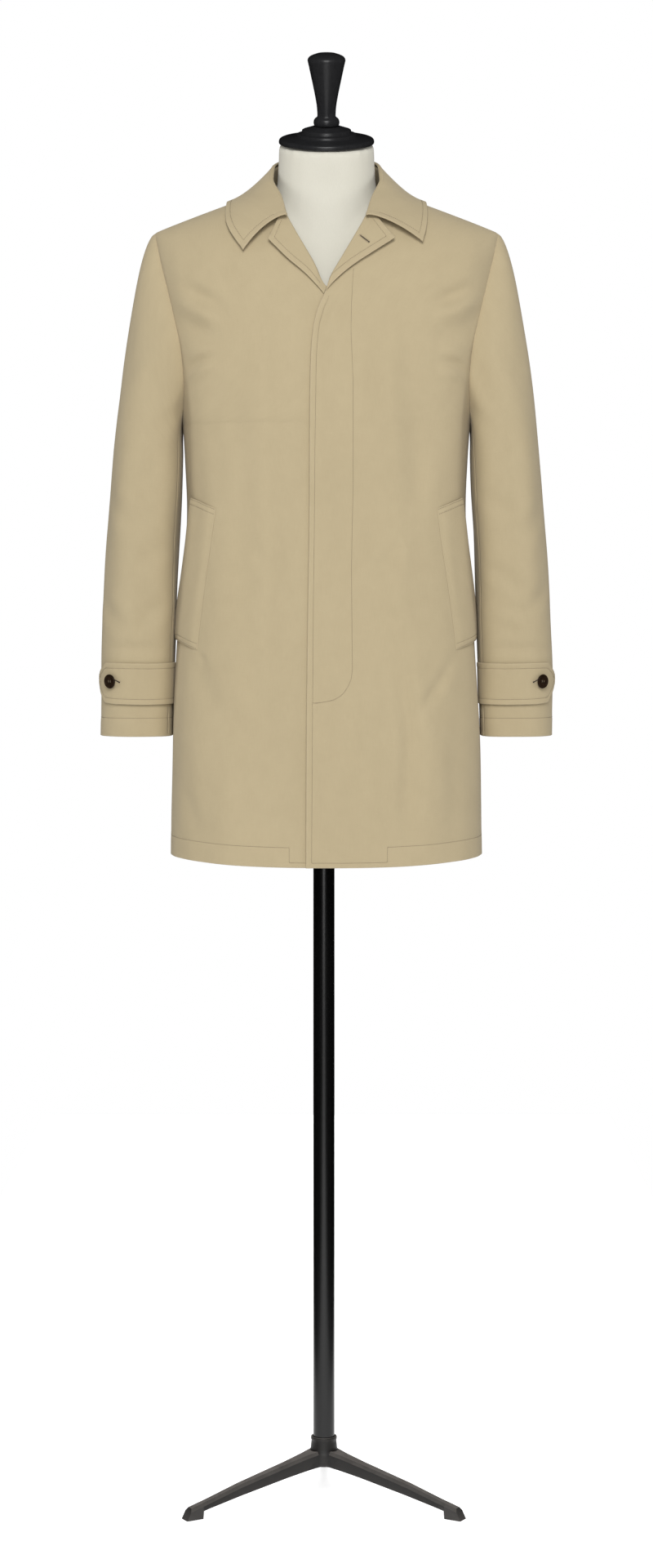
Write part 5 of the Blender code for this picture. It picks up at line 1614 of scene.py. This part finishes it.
class Finish:
    """A material being made: its nodes and its one main shader."""

    def __init__(self, name, **constants):
        self.material = bpy.data.materials.new(name)
        self.material.use_nodes = True
        self.tree = self.material.node_tree
        self.shader = self.tree.nodes["Principled BSDF"]
        for socket, value in constants.items():
            self.shader.inputs[socket.replace("_", " ")].default_value = value

    def node(self, kind, settings=None, inputs=None, output=0):
        """Any node: its settings first, then the values or links of its sockets."""
        made = self.tree.nodes.new(kind)
        for key, value in (settings or {}).items():
            setattr(made, key, value)
        for socket, value in (inputs or {}).items():
            self.feed(made.inputs[socket], value)
        return Value(self, made.outputs[output])

    def feed(self, socket, value):
        """Give a socket a link, a colour or a plain value."""
        if isinstance(value, Value):
            self.tree.links.new(value.socket, socket)
        elif isinstance(value, tuple) and len(value) == 3 and socket.type == "RGBA":
            socket.default_value = (*value, 1.0)
        else:
            socket.default_value = value

    def show(self, socket, value):
        """Give one of the main shader's sockets a value."""
        self.feed(self.shader.inputs[socket], value)

    def places(self):
        """Object coordinates."""
        return self.node("ShaderNodeTexCoord", output="Object")

    def cut(self):
        """Places on the cloth's own cut, in metres."""
        return self.node("ShaderNodeUVMap", dict(uv_map="cut"))

    def part(self, vector, axis):
        """One number of a vector."""
        return self.node("ShaderNodeSeparateXYZ", None, {0: vector}, output=axis)

    def noise(self, vector, scale, detail=3.0, roughness=0.55):
        inputs = {"Vector": vector, "Scale": scale, "Detail": detail, "Roughness": roughness}
        return self.node("ShaderNodeTexNoise", None, inputs)

    def stretched(self, vector, scale):
        """Places scaled by their own amount along each axis."""
        return self.node("ShaderNodeMapping", None, {"Vector": vector, "Scale": scale})

    def mixed(self, share, first, second):
        """A colour between two others."""
        inputs = {0: share, 6: first, 7: second}
        return self.node("ShaderNodeMix", dict(data_type="RGBA"), inputs, output=2)

    def bump(self, height, distance, strength=1.0):
        """Fine relief over the surface."""
        self.show("Normal", self.node("ShaderNodeBump", None, {
            "Height": height, "Distance": distance, "Strength": strength}))


def coat_cloth_finish():
    """Dense beige cotton twill: fine slanted ribs, slubs, faint mottling, paler patches along the edges."""
    finish = Finish(
        "coat_cloth_twill", Roughness=0.86, Sheen_Weight=0.12, Sheen_Roughness=0.55,
        Sheen_Tint=(1.0, 0.95, 0.86, 1.0), Specular_IOR_Level=0.22)
    cut = finish.cut()
    across = finish.part(cut, 0)
    up = finish.part(cut, 1)
    rib = ((across + up * RIB_SLANT) * (2 * math.pi / RIB_PITCH)).sine() * 0.5 + 0.5
    pick = ((up - across * PICK_SLANT) * (2 * math.pi / PICK_PITCH)).sine() * 0.5 + 0.5
    slub = finish.noise(finish.stretched(cut, (900.0, 60.0, 1.0)), 1.0, 2.0)
    weft = finish.noise(finish.stretched(cut, (60.0, 1100.0, 1.0)), 1.0, 2.0)
    mottle = finish.noise(finish.stretched(cut, (46.0, 34.0, 1.0)), 1.0, 4.0, 0.6)
    cloud = finish.noise(finish.stretched(cut, (7.0, 4.5, 1.0)), 1.0, 2.0)
    edge = finish.node("ShaderNodeAttribute", dict(attribute_name="from_edge"), output="Fac")
    # Paler in patches within a couple of millimetres of every edge of the sheet and on its rim
    edge_pale = (1 - edge / EDGE_PALE_REACH).above(0.0) * mottle
    tone = (slub * 0.35 + weft * 0.25 + rib * 0.22 + mottle * 0.5 + cloud * 0.5 - 0.46).above(0.0).below(1.0)
    colour = finish.mixed(tone, COAT_SHADE, COAT_LIGHT)
    colour = finish.mixed(edge_pale * 0.30, colour, COAT_EDGE_PALE)
    finish.show("Base Color", colour)
    finish.show("Roughness", 0.80 + mottle * 0.12)
    finish.bump(rib * 0.7 + pick * 0.3 + slub * 0.6 + weft * 0.4, 0.00012, 0.55)
    return finish.material


def twist_finish(name, roughness, sheen, shade, light):
    """Sewing thread with the fine grain of its twist."""
    finish = Finish(name, Roughness=roughness, Sheen_Weight=sheen)
    twist = finish.noise(finish.places(), TWIST_GRAIN, 2.0)
    finish.show("Base Color", finish.mixed(twist, shade, light))
    finish.bump(twist, 0.0001, 0.5)
    return finish.material


def slit_finish():
    """Shadow inside a buttonhole."""
    finish = Finish("buttonhole_slit", Roughness=0.9)
    shadow_mottle = finish.noise(finish.places(), 900.0)
    finish.show("Base Color", finish.mixed(shadow_mottle, SLIT_SHADE, SLIT_LIGHT))
    return finish.material


def form_cover_finish():
    """Cream cotton jersey, stretched smooth: fine upright wales and faint cloudiness."""
    finish = Finish(
        "form_cover_jersey", Roughness=0.85, Sheen_Weight=0.15, Sheen_Roughness=0.5, Specular_IOR_Level=0.2)
    places = finish.places()
    loops = finish.noise(finish.stretched(places, (900.0, 900.0, 260.0)), 1.0, 2.0)
    cloud = finish.noise(places, 16.0, 4.0)
    tone = (loops * 0.5 + cloud * 0.7 - 0.1).above(0.0).below(1.0)
    finish.show("Base Color", finish.mixed(tone, FORM_SHADE, FORM_LIGHT))
    finish.show("Roughness", 0.78 + cloud * 0.14)
    finish.bump(loops, 0.0002, 0.5)
    return finish.material


def black_wood_finish():
    """Turned wood under thin black paint: faint turning lines and soft gloss."""
    finish = Finish("black_painted_wood", Specular_IOR_Level=0.22)
    places = finish.places()
    rings = finish.noise(finish.stretched(places, (12.0, 12.0, 900.0)), 1.0, 3.0)
    grain = finish.noise(finish.stretched(places, (300.0, 300.0, 40.0)), 1.0, 4.0)
    finish.show("Base Color", finish.mixed(grain, WOOD_SHADE, WOOD_LIGHT))
    finish.show("Roughness", 0.26 + rings * 0.12)
    finish.bump(rings * 0.7 + grain * 0.3, 0.0002, 0.35)
    return finish.material


def pole_finish():
    """Gloss black paint on tube, with a faint skin and a few fine upright rubs."""
    finish = Finish("black_pole_gloss", Specular_IOR_Level=0.42)
    places = finish.places()
    skin = finish.noise(places, 240.0, 3.0)
    rub = finish.noise(finish.stretched(places, (700.0, 700.0, 9.0)), 1.0, 3.0)
    finish.show("Base Color", finish.mixed(rub, POLE_SHADE, POLE_LIGHT))
    finish.show("Roughness", 0.20 + rub * 0.10)
    finish.bump(skin, 0.00015, 0.12)
    return finish.material


def base_finish():
    """Cast metal under half-matt brown-black paint: sand texture, paler on faces that look up, and round
    edges lightened, partly rubbed paint and partly a painted highlight.
    """
    finish = Finish("cast_base_paint", Specular_IOR_Level=0.35)
    places = finish.places()
    sand = finish.noise(places, 1300.0, 3.0)
    cloud = finish.noise(places, 60.0, 4.0)
    # Round edges and the ridge where the legs meet are lightened by pointiness: partly rubbed paint, partly a
    # painted highlight
    round_edge = finish.node("ShaderNodeNewGeometry", output="Pointiness")
    rubbed_and_painted_highlight = ((round_edge - 0.515) * 9.0).above(0.0).below(1.0)
    # Faces that look up are given a paler colour, chosen by their normal
    facing_up = finish.part(finish.node("ShaderNodeNewGeometry", output="Normal"), 2)
    upward_pale = ((facing_up - 0.55) * 3.0).above(0.0).below(1.0) * (0.45 + cloud * 0.8)
    colour = finish.mixed(cloud, CAST_SHADE, CAST_LIGHT)
    colour = finish.mixed(upward_pale.below(1.0), colour, CAST_UPWARD_PALE)
    finish.show("Base Color", finish.mixed(rubbed_and_painted_highlight * 0.6, colour, CAST_RUBBED_AND_PAINTED_HIGHLIGHT))
    finish.show("Roughness", 0.32 + cloud * 0.26)
    finish.bump(sand * 0.6 + cloud * 0.4, 0.0006, 0.6)
    return finish.material


def button_finish():
    """Dark brown horn with cloudy streaks under a soft polish."""
    finish = Finish("horn_button_polish", Specular_IOR_Level=0.12)
    places = finish.places()
    streak = finish.noise(finish.stretched(places, (180.0, 180.0, 520.0)), 1.0, 4.0, 0.65)
    speck = finish.noise(places, 1400.0, 2.0)
    tone = (streak * 1.5 - 0.35).above(0.0).below(1.0)
    finish.show("Base Color", finish.mixed(tone, HORN_SHADE, HORN_LIGHT))
    finish.show("Roughness", 0.22 + speck * 0.16)
    finish.bump(speck, 0.0001, 0.2)
    return finish.material


def floor_finish():
    """Pale matt floor with a faint glow of its own."""
    finish = Finish(
        "pale_studio_floor", Roughness=0.9, Specular_IOR_Level=0.1,
        Emission_Color=(1.0, 1.0, 1.0, 1.0), Emission_Strength=FLOOR_GLOW)
    cloud = finish.noise(finish.places(), 3.0)
    finish.show("Base Color", finish.mixed(cloud, FLOOR_SHADE, FLOOR_LIGHT))
    return finish.material


# Hard pieces, shaped one by one

def pick_faces(thing, wanted):
    """In edit mode, select only the faces whose middle and normal are wanted."""
    bpy.ops.mesh.select_all(action="DESELECT")
    bpy.ops.object.mode_set(mode="OBJECT")
    for face in thing.data.polygons:
        face.select = bool(wanted(face.center, face.normal))
    bpy.ops.object.mode_set(mode="EDIT")


def pick_edges(thing, wanted):
    """In edit mode, select only the edges whose two ends are wanted."""
    bpy.ops.mesh.select_all(action="DESELECT")
    bpy.ops.mesh.select_mode(type="EDGE")
    bpy.ops.object.mode_set(mode="OBJECT")
    points = thing.data.vertices
    for line in thing.data.edges:
        line.select = bool(wanted(points[line.vertices[0]].co, points[line.vertices[1]].co))
    bpy.ops.object.mode_set(mode="EDIT")


def take_up(thing):
    """Select one object alone and work on it."""
    bpy.ops.object.select_all(action="DESELECT")
    thing.select_set(True)
    bpy.context.view_layer.objects.active = thing


def settle(thing, angle=SMOOTH_ANGLE):
    """Put a shaped piece's place into its mesh and smooth it up to an angle."""
    bpy.ops.object.mode_set(mode="OBJECT")
    take_up(thing)
    bpy.ops.object.transform_apply(location=True, rotation=True, scale=True)
    bpy.ops.object.shade_smooth_by_angle(angle=math.radians(angle))
    thing.select_set(False)
    return thing


def apply_all(thing):
    """Apply a piece's modifiers in their order."""
    take_up(thing)
    for modifier in list(thing.modifiers):
        bpy.ops.object.modifier_apply(modifier=modifier.name)
    thing.select_set(False)


def draw_up(name, rows, segments):
    """A turned piece drawn up ring by ring from its foot: rows of radius and height."""
    bpy.ops.object.select_all(action="DESELECT")
    radius, height = rows[0]
    bpy.ops.mesh.primitive_circle_add(
        vertices=segments, radius=radius, fill_type="NGON", location=(0.0, 0.0, height))
    thing = bpy.context.object
    thing.name = name
    bpy.ops.object.mode_set(mode="EDIT")
    bpy.ops.mesh.select_all(action="SELECT")
    for next_radius, next_height in rows[1:]:
        bpy.ops.mesh.extrude_region_move(TRANSFORM_OT_translate={"value": (0.0, 0.0, next_height - height)})
        share = next_radius / radius
        bpy.ops.transform.resize(value=(share, share, 1.0), center_override=(0.0, 0.0, next_height))
        radius, height = next_radius, next_height
    bpy.ops.mesh.select_all(action="SELECT")
    bpy.ops.mesh.normals_make_consistent(inside=False)
    return settle(thing)


def set_down(thing, matrix):
    """Move a finished mesh to its place on the object."""
    thing.data.transform(matrix)
    thing.data.update()


CAP_RINGS = (
    (0.0618, 0.0000), (0.0630, 0.0004), (0.0638, 0.0013), (0.0640, 0.0026), (0.0639, 0.0042),
    (0.0634, 0.0056), (0.0624, 0.0067), (0.0606, 0.0075), (0.0420, 0.0098), (0.0409, 0.0102),
    (0.0404, 0.0110), (0.0403, 0.0124), (0.0399, 0.0132), (0.0390, 0.0136), (0.0345, 0.0148),
    (0.0335, 0.0152), (0.0331, 0.0160), (0.0330, 0.0178), (0.0326, 0.0187), (0.0316, 0.0192),
    (0.0210, 0.0226), (0.0190, 0.0233), (0.0004, CAP_HEIGHT),
)
FINIAL_RINGS = (
    (0.0138, 0.0000), (0.0158, 0.0006), (0.0169, 0.0020), (0.0174, 0.0042), (0.0173, 0.0064),
    (0.0167, 0.0086), (0.0154, 0.0104), (0.0136, 0.0118), (0.0126, 0.0128), (0.0123, 0.0140),
    (0.0124, 0.0180), (0.0128, 0.0240), (0.0135, 0.0300), (0.0158, 0.0430), (0.0185, 0.0560),
    (0.0211, 0.0680), (0.0236, 0.0800), (0.0248, 0.0848), (0.0253, 0.0872), (0.0252, 0.0888),
    (0.0246, 0.0904), (0.0234, 0.0920), (0.0214, 0.0934), (0.0180, 0.0950), (0.0125, 0.0968),
    (0.0060, 0.0976), (0.0004, 0.0978),
)
HUB_RINGS = (
    (0.0150, 0.0446), (0.0182, 0.0449), (0.0202, 0.0460), (0.0211, 0.0476), (0.0214, 0.0496),
    (0.0214, 0.0580), (0.0211, 0.0604), (0.0203, 0.0626), (0.0192, 0.0643), (0.0184, 0.0654),
    (0.0179, 0.0668), (0.0175, 0.0700), (0.0170, 0.0755), (0.0168, 0.0776), (0.0170, 0.0783),
    (0.0173, 0.0789), (0.0174, 0.0798), (0.0174, 0.0815), (0.0172, 0.0824), (0.0167, 0.0829),
    (0.0158, HUB_TOP), (0.0150, 0.0826), (0.0147, 0.0815), (0.01465, HUB_FLOOR), (0.0004, HUB_FLOOR),
)
POLE_RINGS = (
    (POLE_RADIUS - POLE_CHAMFER, HUB_FLOOR + SEAM), (POLE_RADIUS, HUB_FLOOR + SEAM + POLE_CHAMFER),
    (POLE_RADIUS, 0.30), (POLE_RADIUS, 0.55), (POLE_RADIUS, 0.80),
    (POLE_RADIUS, FORM_BOTTOM - SEAM - POLE_CHAMFER), (POLE_RADIUS - POLE_CHAMFER, FORM_BOTTOM - SEAM),
)
BUTTON_RINGS = (
    (0.0072, 0.0000), (0.0084, 0.0004), (0.0092, 0.0010), (0.0095, 0.0017), (0.0095, 0.0023),
    (0.0092, 0.0029), (0.0087, 0.0032), (0.0081, 0.0032), (0.0076, 0.0029), (0.0070, 0.0024),
    (0.0064, 0.0021), (0.0055, 0.0020), (0.0040, 0.0020), (0.0030, 0.0020), (0.0004, 0.0020),
)
LEG_ROWS = (
    (0.0162, 0.0652, 0.0452, 0.0138), (0.0320, 0.0612, 0.0420, 0.0112), (0.0600, 0.0540, 0.0366, 0.0094),
    (0.1300, 0.0365, 0.0226, 0.0082), (0.1780, 0.0222, 0.0122, 0.0078), (0.1866, 0.0198, 0.0101, 0.0078),
    (0.1876, 0.0195, 0.0000, 0.0082), (0.2035, 0.0150, 0.0000, 0.0082),
)


def make_leg(turn):
    """One leg of the base, drawn out section by section and bevelled along its top."""
    bpy.ops.object.select_all(action="DESELECT")
    reach, top, bottom, half = LEG_ROWS[0]
    root = (0.0, -reach + LEG_START / 2, (top + bottom) / 2)
    bpy.ops.mesh.primitive_cube_add(size=1.0, location=root)
    leg = bpy.context.object
    bpy.ops.object.mode_set(mode="EDIT")
    bpy.ops.mesh.select_all(action="SELECT")
    bpy.ops.transform.resize(value=(2 * half, LEG_START, top - bottom), center_override=root)
    pick_faces(leg, lambda middle, normal: normal.y < -SQUARELY)
    for next_reach, next_top, next_bottom, next_half in LEG_ROWS[1:]:
        shift = (0.0, reach - next_reach, (next_top + next_bottom - top - bottom) / 2)
        bpy.ops.mesh.extrude_region_move(TRANSFORM_OT_translate={"value": shift})
        grow = (next_half / half, 1.0, (next_top - next_bottom) / (top - bottom))
        bpy.ops.transform.resize(value=grow, center_override=(0.0, -next_reach, (next_top + next_bottom) / 2))
        reach, top, bottom, half = next_reach, next_top, next_bottom, next_half
    settle(leg)
    reaches = np.array([row[0] for row in LEG_ROWS])
    tops = np.array([row[1] for row in LEG_ROWS])

    def on_top(point):
        return point.z > np.interp(-point.y, reaches, tops) - LEG_TOP_BAND

    bpy.context.view_layer.objects.active = leg
    bpy.ops.object.mode_set(mode="EDIT")
    pick_edges(leg, lambda a, b: max(a.y, b.y) < LEG_NEAR - reach and max(a.z, b.z) < LEG_NEAR)
    bpy.ops.transform.translate(value=(0.0, -LEG_TOE, 0.0))
    pick_edges(leg, lambda a, b: on_top(a) and on_top(b) and a.x * b.x > 0)
    bpy.ops.mesh.bevel(offset=LEG_TOP_BEVEL, segments=1, affect="EDGES")
    settle(leg)
    set_down(leg, Matrix.Rotation(math.radians(turn), 4, "Z"))
    return leg


def make_base():
    """Hub socket with a rounded lip and three legs, cast in one."""
    base = draw_up("tripod_base_casting", HUB_RINGS, HUB_SIDES)
    legs = [make_leg(turn) for turn in LEG_TURNS]
    for leg in legs:
        union = base.modifiers.new("leg", "BOOLEAN")
        union.operation = "UNION"
        union.solver = "EXACT"
        union.object = leg
    apply_all(base)
    for leg in legs:
        bpy.data.objects.remove(leg, do_unlink=True)
    soften = base.modifiers.new("cast edges", "BEVEL")
    soften.width = CAST_EDGE
    soften.segments = 2
    soften.limit_method = "ANGLE"
    soften.angle_limit = math.radians(CAST_EDGE_ANGLE)
    apply_all(base)
    settle(base, CAST_SMOOTH)
    set_down(base, Matrix.Translation((POLE_X, CENTRE_Y, 0.0)))
    return base


def make_neck_wood():
    """Cap on the sloping neck and the finial on it."""
    lean = math.radians(NECK_TILT)
    axis = Vector((0.0, -math.sin(lean), math.cos(lean)))
    start = Vector((0.0, CENTRE_Y - NECK_TOP_FORWARD, NECK_TOP_HEIGHT))
    tilt = Matrix.Rotation(lean, 4, "X")
    cap = draw_up("neck_cap_turned", CAP_RINGS, CAP_SIDES)
    finial = draw_up("finial_turned", FINIAL_RINGS, FINIAL_SIDES)
    set_down(cap, Matrix.Translation(start + axis * SEAM) @ tilt)
    set_down(finial, Matrix.Translation(start + axis * (2 * SEAM + CAP_HEIGHT)) @ tilt)
    return cap, finial


def make_pole():
    """The tube between the hub and the form, its ends eased."""
    pole = draw_up("pole_tube", POLE_RINGS, POLE_SIDES)
    set_down(pole, Matrix.Translation((POLE_X, CENTRE_Y, 0.0)))
    return pole


def make_form():
    """The form's cover: its solid's shape, evened out as stretched jersey is."""
    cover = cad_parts["dress_form"].copy()
    cover.data = cover.data.copy()
    cover.name = "dress_form_cover"
    bpy.context.scene.collection.objects.link(cover)
    take_up(cover)
    bpy.ops.object.mode_set(mode="EDIT")
    bpy.ops.mesh.select_all(action="SELECT")
    bpy.ops.mesh.remove_doubles(threshold=COVER_MERGE)
    bpy.ops.object.mode_set(mode="OBJECT")
    even = cover.modifiers.new("even", "REMESH")
    even.mode = "VOXEL"
    even.voxel_size = COVER_GRAIN
    relax = cover.modifiers.new("relax", "SMOOTH")
    relax.factor = COVER_RELAX_SHARE
    relax.iterations = COVER_RELAX
    apply_all(cover)
    return settle(cover, COVER_SMOOTH)


def make_button():
    """One four-hole button with a raised rim, lying at the origin."""
    button = draw_up("cuff_button", BUTTON_RINGS, BUTTON_SIDES)
    for x in (-HOLE_OFF, HOLE_OFF):
        for y in (-HOLE_OFF, HOLE_OFF):
            bpy.ops.object.select_all(action="DESELECT")
            bpy.ops.mesh.primitive_cylinder_add(
                vertices=HOLE_SIDES, radius=HOLE_RADIUS, depth=DRILL_DEPTH, location=(x, y, DRILL_MIDDLE))
            drill = bpy.context.object
            hole = button.modifiers.new("hole", "BOOLEAN")
            hole.operation = "DIFFERENCE"
            hole.solver = "EXACT"
            hole.object = drill
            apply_all(button)
            bpy.data.objects.remove(drill, do_unlink=True)
    return settle(button, BUTTON_SMOOTH)


def button_spot(side):
    """Where a button lies on its tab, and which way it faces."""
    place = np.array((TAB_BUTTON_AROUND,))
    level = tab_level(np.array((TAB_BUTTON_HEIGHT,)))
    point, normal = sleeve_skin(side, place, level, TAB_REST + 2 * WALL + BUTTON_REST)
    spot = Vector(point[0]) + Vector((0.0, CENTRE_Y, 0.0))
    facing = Vector(normal[0])
    return Matrix.Translation(spot) @ facing.to_track_quat("Z", "Y").to_matrix().to_4x4()


def button_thread(matrix):
    """Two bars of thread between a button's holes."""
    runs = []
    for x in (-HOLE_OFF, HOLE_OFF):
        across = np.linspace(-HOLE_OFF, HOLE_OFF, BUTTON_THREAD_POINTS)
        ends = [matrix @ Vector((x, y, BUTTON_FACE)) for y in across]
        points = np.array([tuple(p) for p in ends]) - np.array((0.0, CENTRE_Y, 0.0))
        facing = np.tile(np.array(matrix.to_3x3() @ Vector((0, 0, 1))), (BUTTON_THREAD_POINTS, 1))
        runs.append((points, facing))
    return runs


# Making of everything

left_front = make_front("left", 1, LEFT_EDGE)
make_front("right", -1, RIGHT_EDGE)
make_back()
for word, side in (("left", 1), ("right", -1)):
    make_sleeve(word, side)
    make_welt(word, side)
    make_tab(word, side)
make_collar()
make_stand()
left_lapel = make_lapel("left", 1, LEFT_EDGE, LEFT_LAPEL, LEFT_ROLL_LOW)
make_lapel("right", -1, RIGHT_EDGE, RIGHT_LAPEL, RIGHT_ROLL_LOW)
lapel_hole = front_line(1, np.linspace(*LAPEL_HOLE, HOLE_POINTS)) + LAPEL_HOLE_OFF
work_buttonhole(laid_on(left_lapel, 1, lapel_hole))
fly_bar = laid_on(left_front, 1, front_line(1, np.linspace(*FLY_BAR, BAR_POINTS)))
bars_across(*fly_bar, -BAR_LENGTH / 2, BAR_LENGTH / 2)

stitches = sew("coat_stitches", sewing_runs)
# A pitch longer than any bar gives each bar one stitch
thread_bars = sew("coat_thread_bars", bar_runs, pitch=ONE_EACH, length=BAR_LENGTH, radius=BAR_RADIUS)
slits = make_slits()
form_cover = make_form()
neck_cap, finial = make_neck_wood()
pole = make_pole()
base = make_base()

button = make_button()
buttons = {}
button_threads = []
for word, side in (("left", 1), ("right", -1)):
    copy = button.copy()
    copy.data = button.data.copy()
    copy.name = "cuff_button_" + word + "_horn"
    bpy.context.scene.collection.objects.link(copy)
    set_down(copy, button_spot(side))
    buttons["cuff_button_" + word] = copy
    button_threads += button_thread(button_spot(side))
bpy.data.objects.remove(button, do_unlink=True)
button_sewing = sew(
    "button_threads", button_threads, BUTTON_THREAD_PITCH, BUTTON_THREAD_LENGTH, BUTTON_THREAD_RADIUS)

# Finishes and what each piece stands for

cloth_material = coat_cloth_finish()
# Stitches and button threads get this thread, whose dark colour is partly painted shade of the holes and
# grooves
thread_with_painted_shade_material = twist_finish("coat_thread", 0.7, 0.1, THREAD_DARK_WITH_PAINTED_SHADE, THREAD_LIGHT_WITH_PAINTED_SHADE)
for node, (piece, (width, length, area), held, rests_on) in coat_pieces.items():
    piece.data.materials.append(cloth_material)
    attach(piece, "root")
    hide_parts(node)
sewing = (
    (stitches, thread_with_painted_shade_material),
    (button_sewing, thread_with_painted_shade_material),
    (thread_bars, twist_finish("buttonhole_twist", 0.6, 0.15, TWIST_SHADE, TWIST_LIGHT)),
    (slits, slit_finish()),
)
for piece, material in sewing:
    piece.data.materials.append(material)
    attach(piece, "root")
horn = button_finish()
for node, piece in buttons.items():
    piece.data.materials.clear()
    piece.data.materials.append(horn)
    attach(piece, "root")
    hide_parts(node)
wood = black_wood_finish()
stand = (
    (form_cover, "dress_form", "form_cover", form_cover_finish()),
    (neck_cap, "neck_cap", "black_wood", wood),
    (finial, "finial", "black_wood", wood),
    (pole, "pole", "black_pole", pole_finish()),
    (base, "tripod_base", "cast_base", base_finish()),
)
for piece, node, slot, material in stand:
    piece.data.materials.clear()
    piece.data.materials.append(material)
    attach(piece, "root")
    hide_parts(node)

# Studio: pale floor, white surround, soft light mostly from the front

bpy.ops.object.select_all(action="DESELECT")
bpy.ops.mesh.primitive_plane_add(size=1.0, location=FLOOR_MIDDLE)
floor = bpy.context.object
bpy.ops.object.mode_set(mode="EDIT")
bpy.ops.mesh.select_all(action="SELECT")
bpy.ops.transform.resize(value=FLOOR_SIZE, center_override=FLOOR_MIDDLE)
bpy.ops.object.mode_set(mode="OBJECT")
floor.name = "studio_floor"
floor.data.materials.append(floor_finish())

scene = bpy.context.scene
scene.view_settings.view_transform = "Standard"
world = bpy.data.worlds.new("white_studio")
world.use_nodes = True
scene.world = world
# Polished pieces mirror the floor and the two front lights, not the white surround
world.cycles_visibility.glossy = False
studio = world.node_tree
fill = studio.nodes["Background"]
fill.inputs["Color"].default_value = (1.0, 1.0, 1.0, 1.0)
fill.inputs["Strength"].default_value = FILL_LIGHT
seen = studio.nodes.new("ShaderNodeBackground")
seen.inputs["Color"].default_value = (1.0, 1.0, 1.0, 1.0)
seen.inputs["Strength"].default_value = 1.0
choice = studio.nodes.new("ShaderNodeMixShader")
ray = studio.nodes.new("ShaderNodeLightPath")
studio.links.new(ray.outputs["Is Camera Ray"], choice.inputs[0])
studio.links.new(fill.outputs[0], choice.inputs[1])
studio.links.new(seen.outputs[0], choice.inputs[2])
studio.links.new(choice.outputs[0], studio.nodes["World Output"].inputs["Surface"])


def soft_light(name, place, size, power, in_gloss):
    """A large lamp; in_gloss says whether polished pieces mirror it."""
    lamp = bpy.data.lights.new(name, "AREA")
    lamp.shape = "RECTANGLE"
    lamp.size, lamp.size_y = size
    lamp.energy = power
    thing = bpy.data.objects.new(name, lamp)
    thing.location = place
    thing.rotation_euler = (Vector(LIGHT_AIM) - Vector(place)).to_track_quat("-Z", "Y").to_euler()
    thing.visible_glossy = in_gloss
    scene.collection.objects.link(thing)


for light in SOFT_LIGHTS:
    soft_light(*light)

camera_data = bpy.data.cameras.new("front_camera")
camera_data.sensor_width = SENSOR
camera_data.lens = SENSOR * EYE_AWAY / (PICTURE_HEIGHT * PIXEL)
camera_data.shift_y = -(PICTURE_HEIGHT / 2 - EYE_ROW) / PICTURE_HEIGHT
camera_data.dof.use_dof = False
camera = bpy.data.objects.new("front_camera", camera_data)
camera.location = (0.0, CENTRE_Y - EYE_AWAY, EYE_HEIGHT)
camera.rotation_euler = (math.radians(90), 0.0, 0.0)
scene.collection.objects.link(camera)
scene.camera = camera
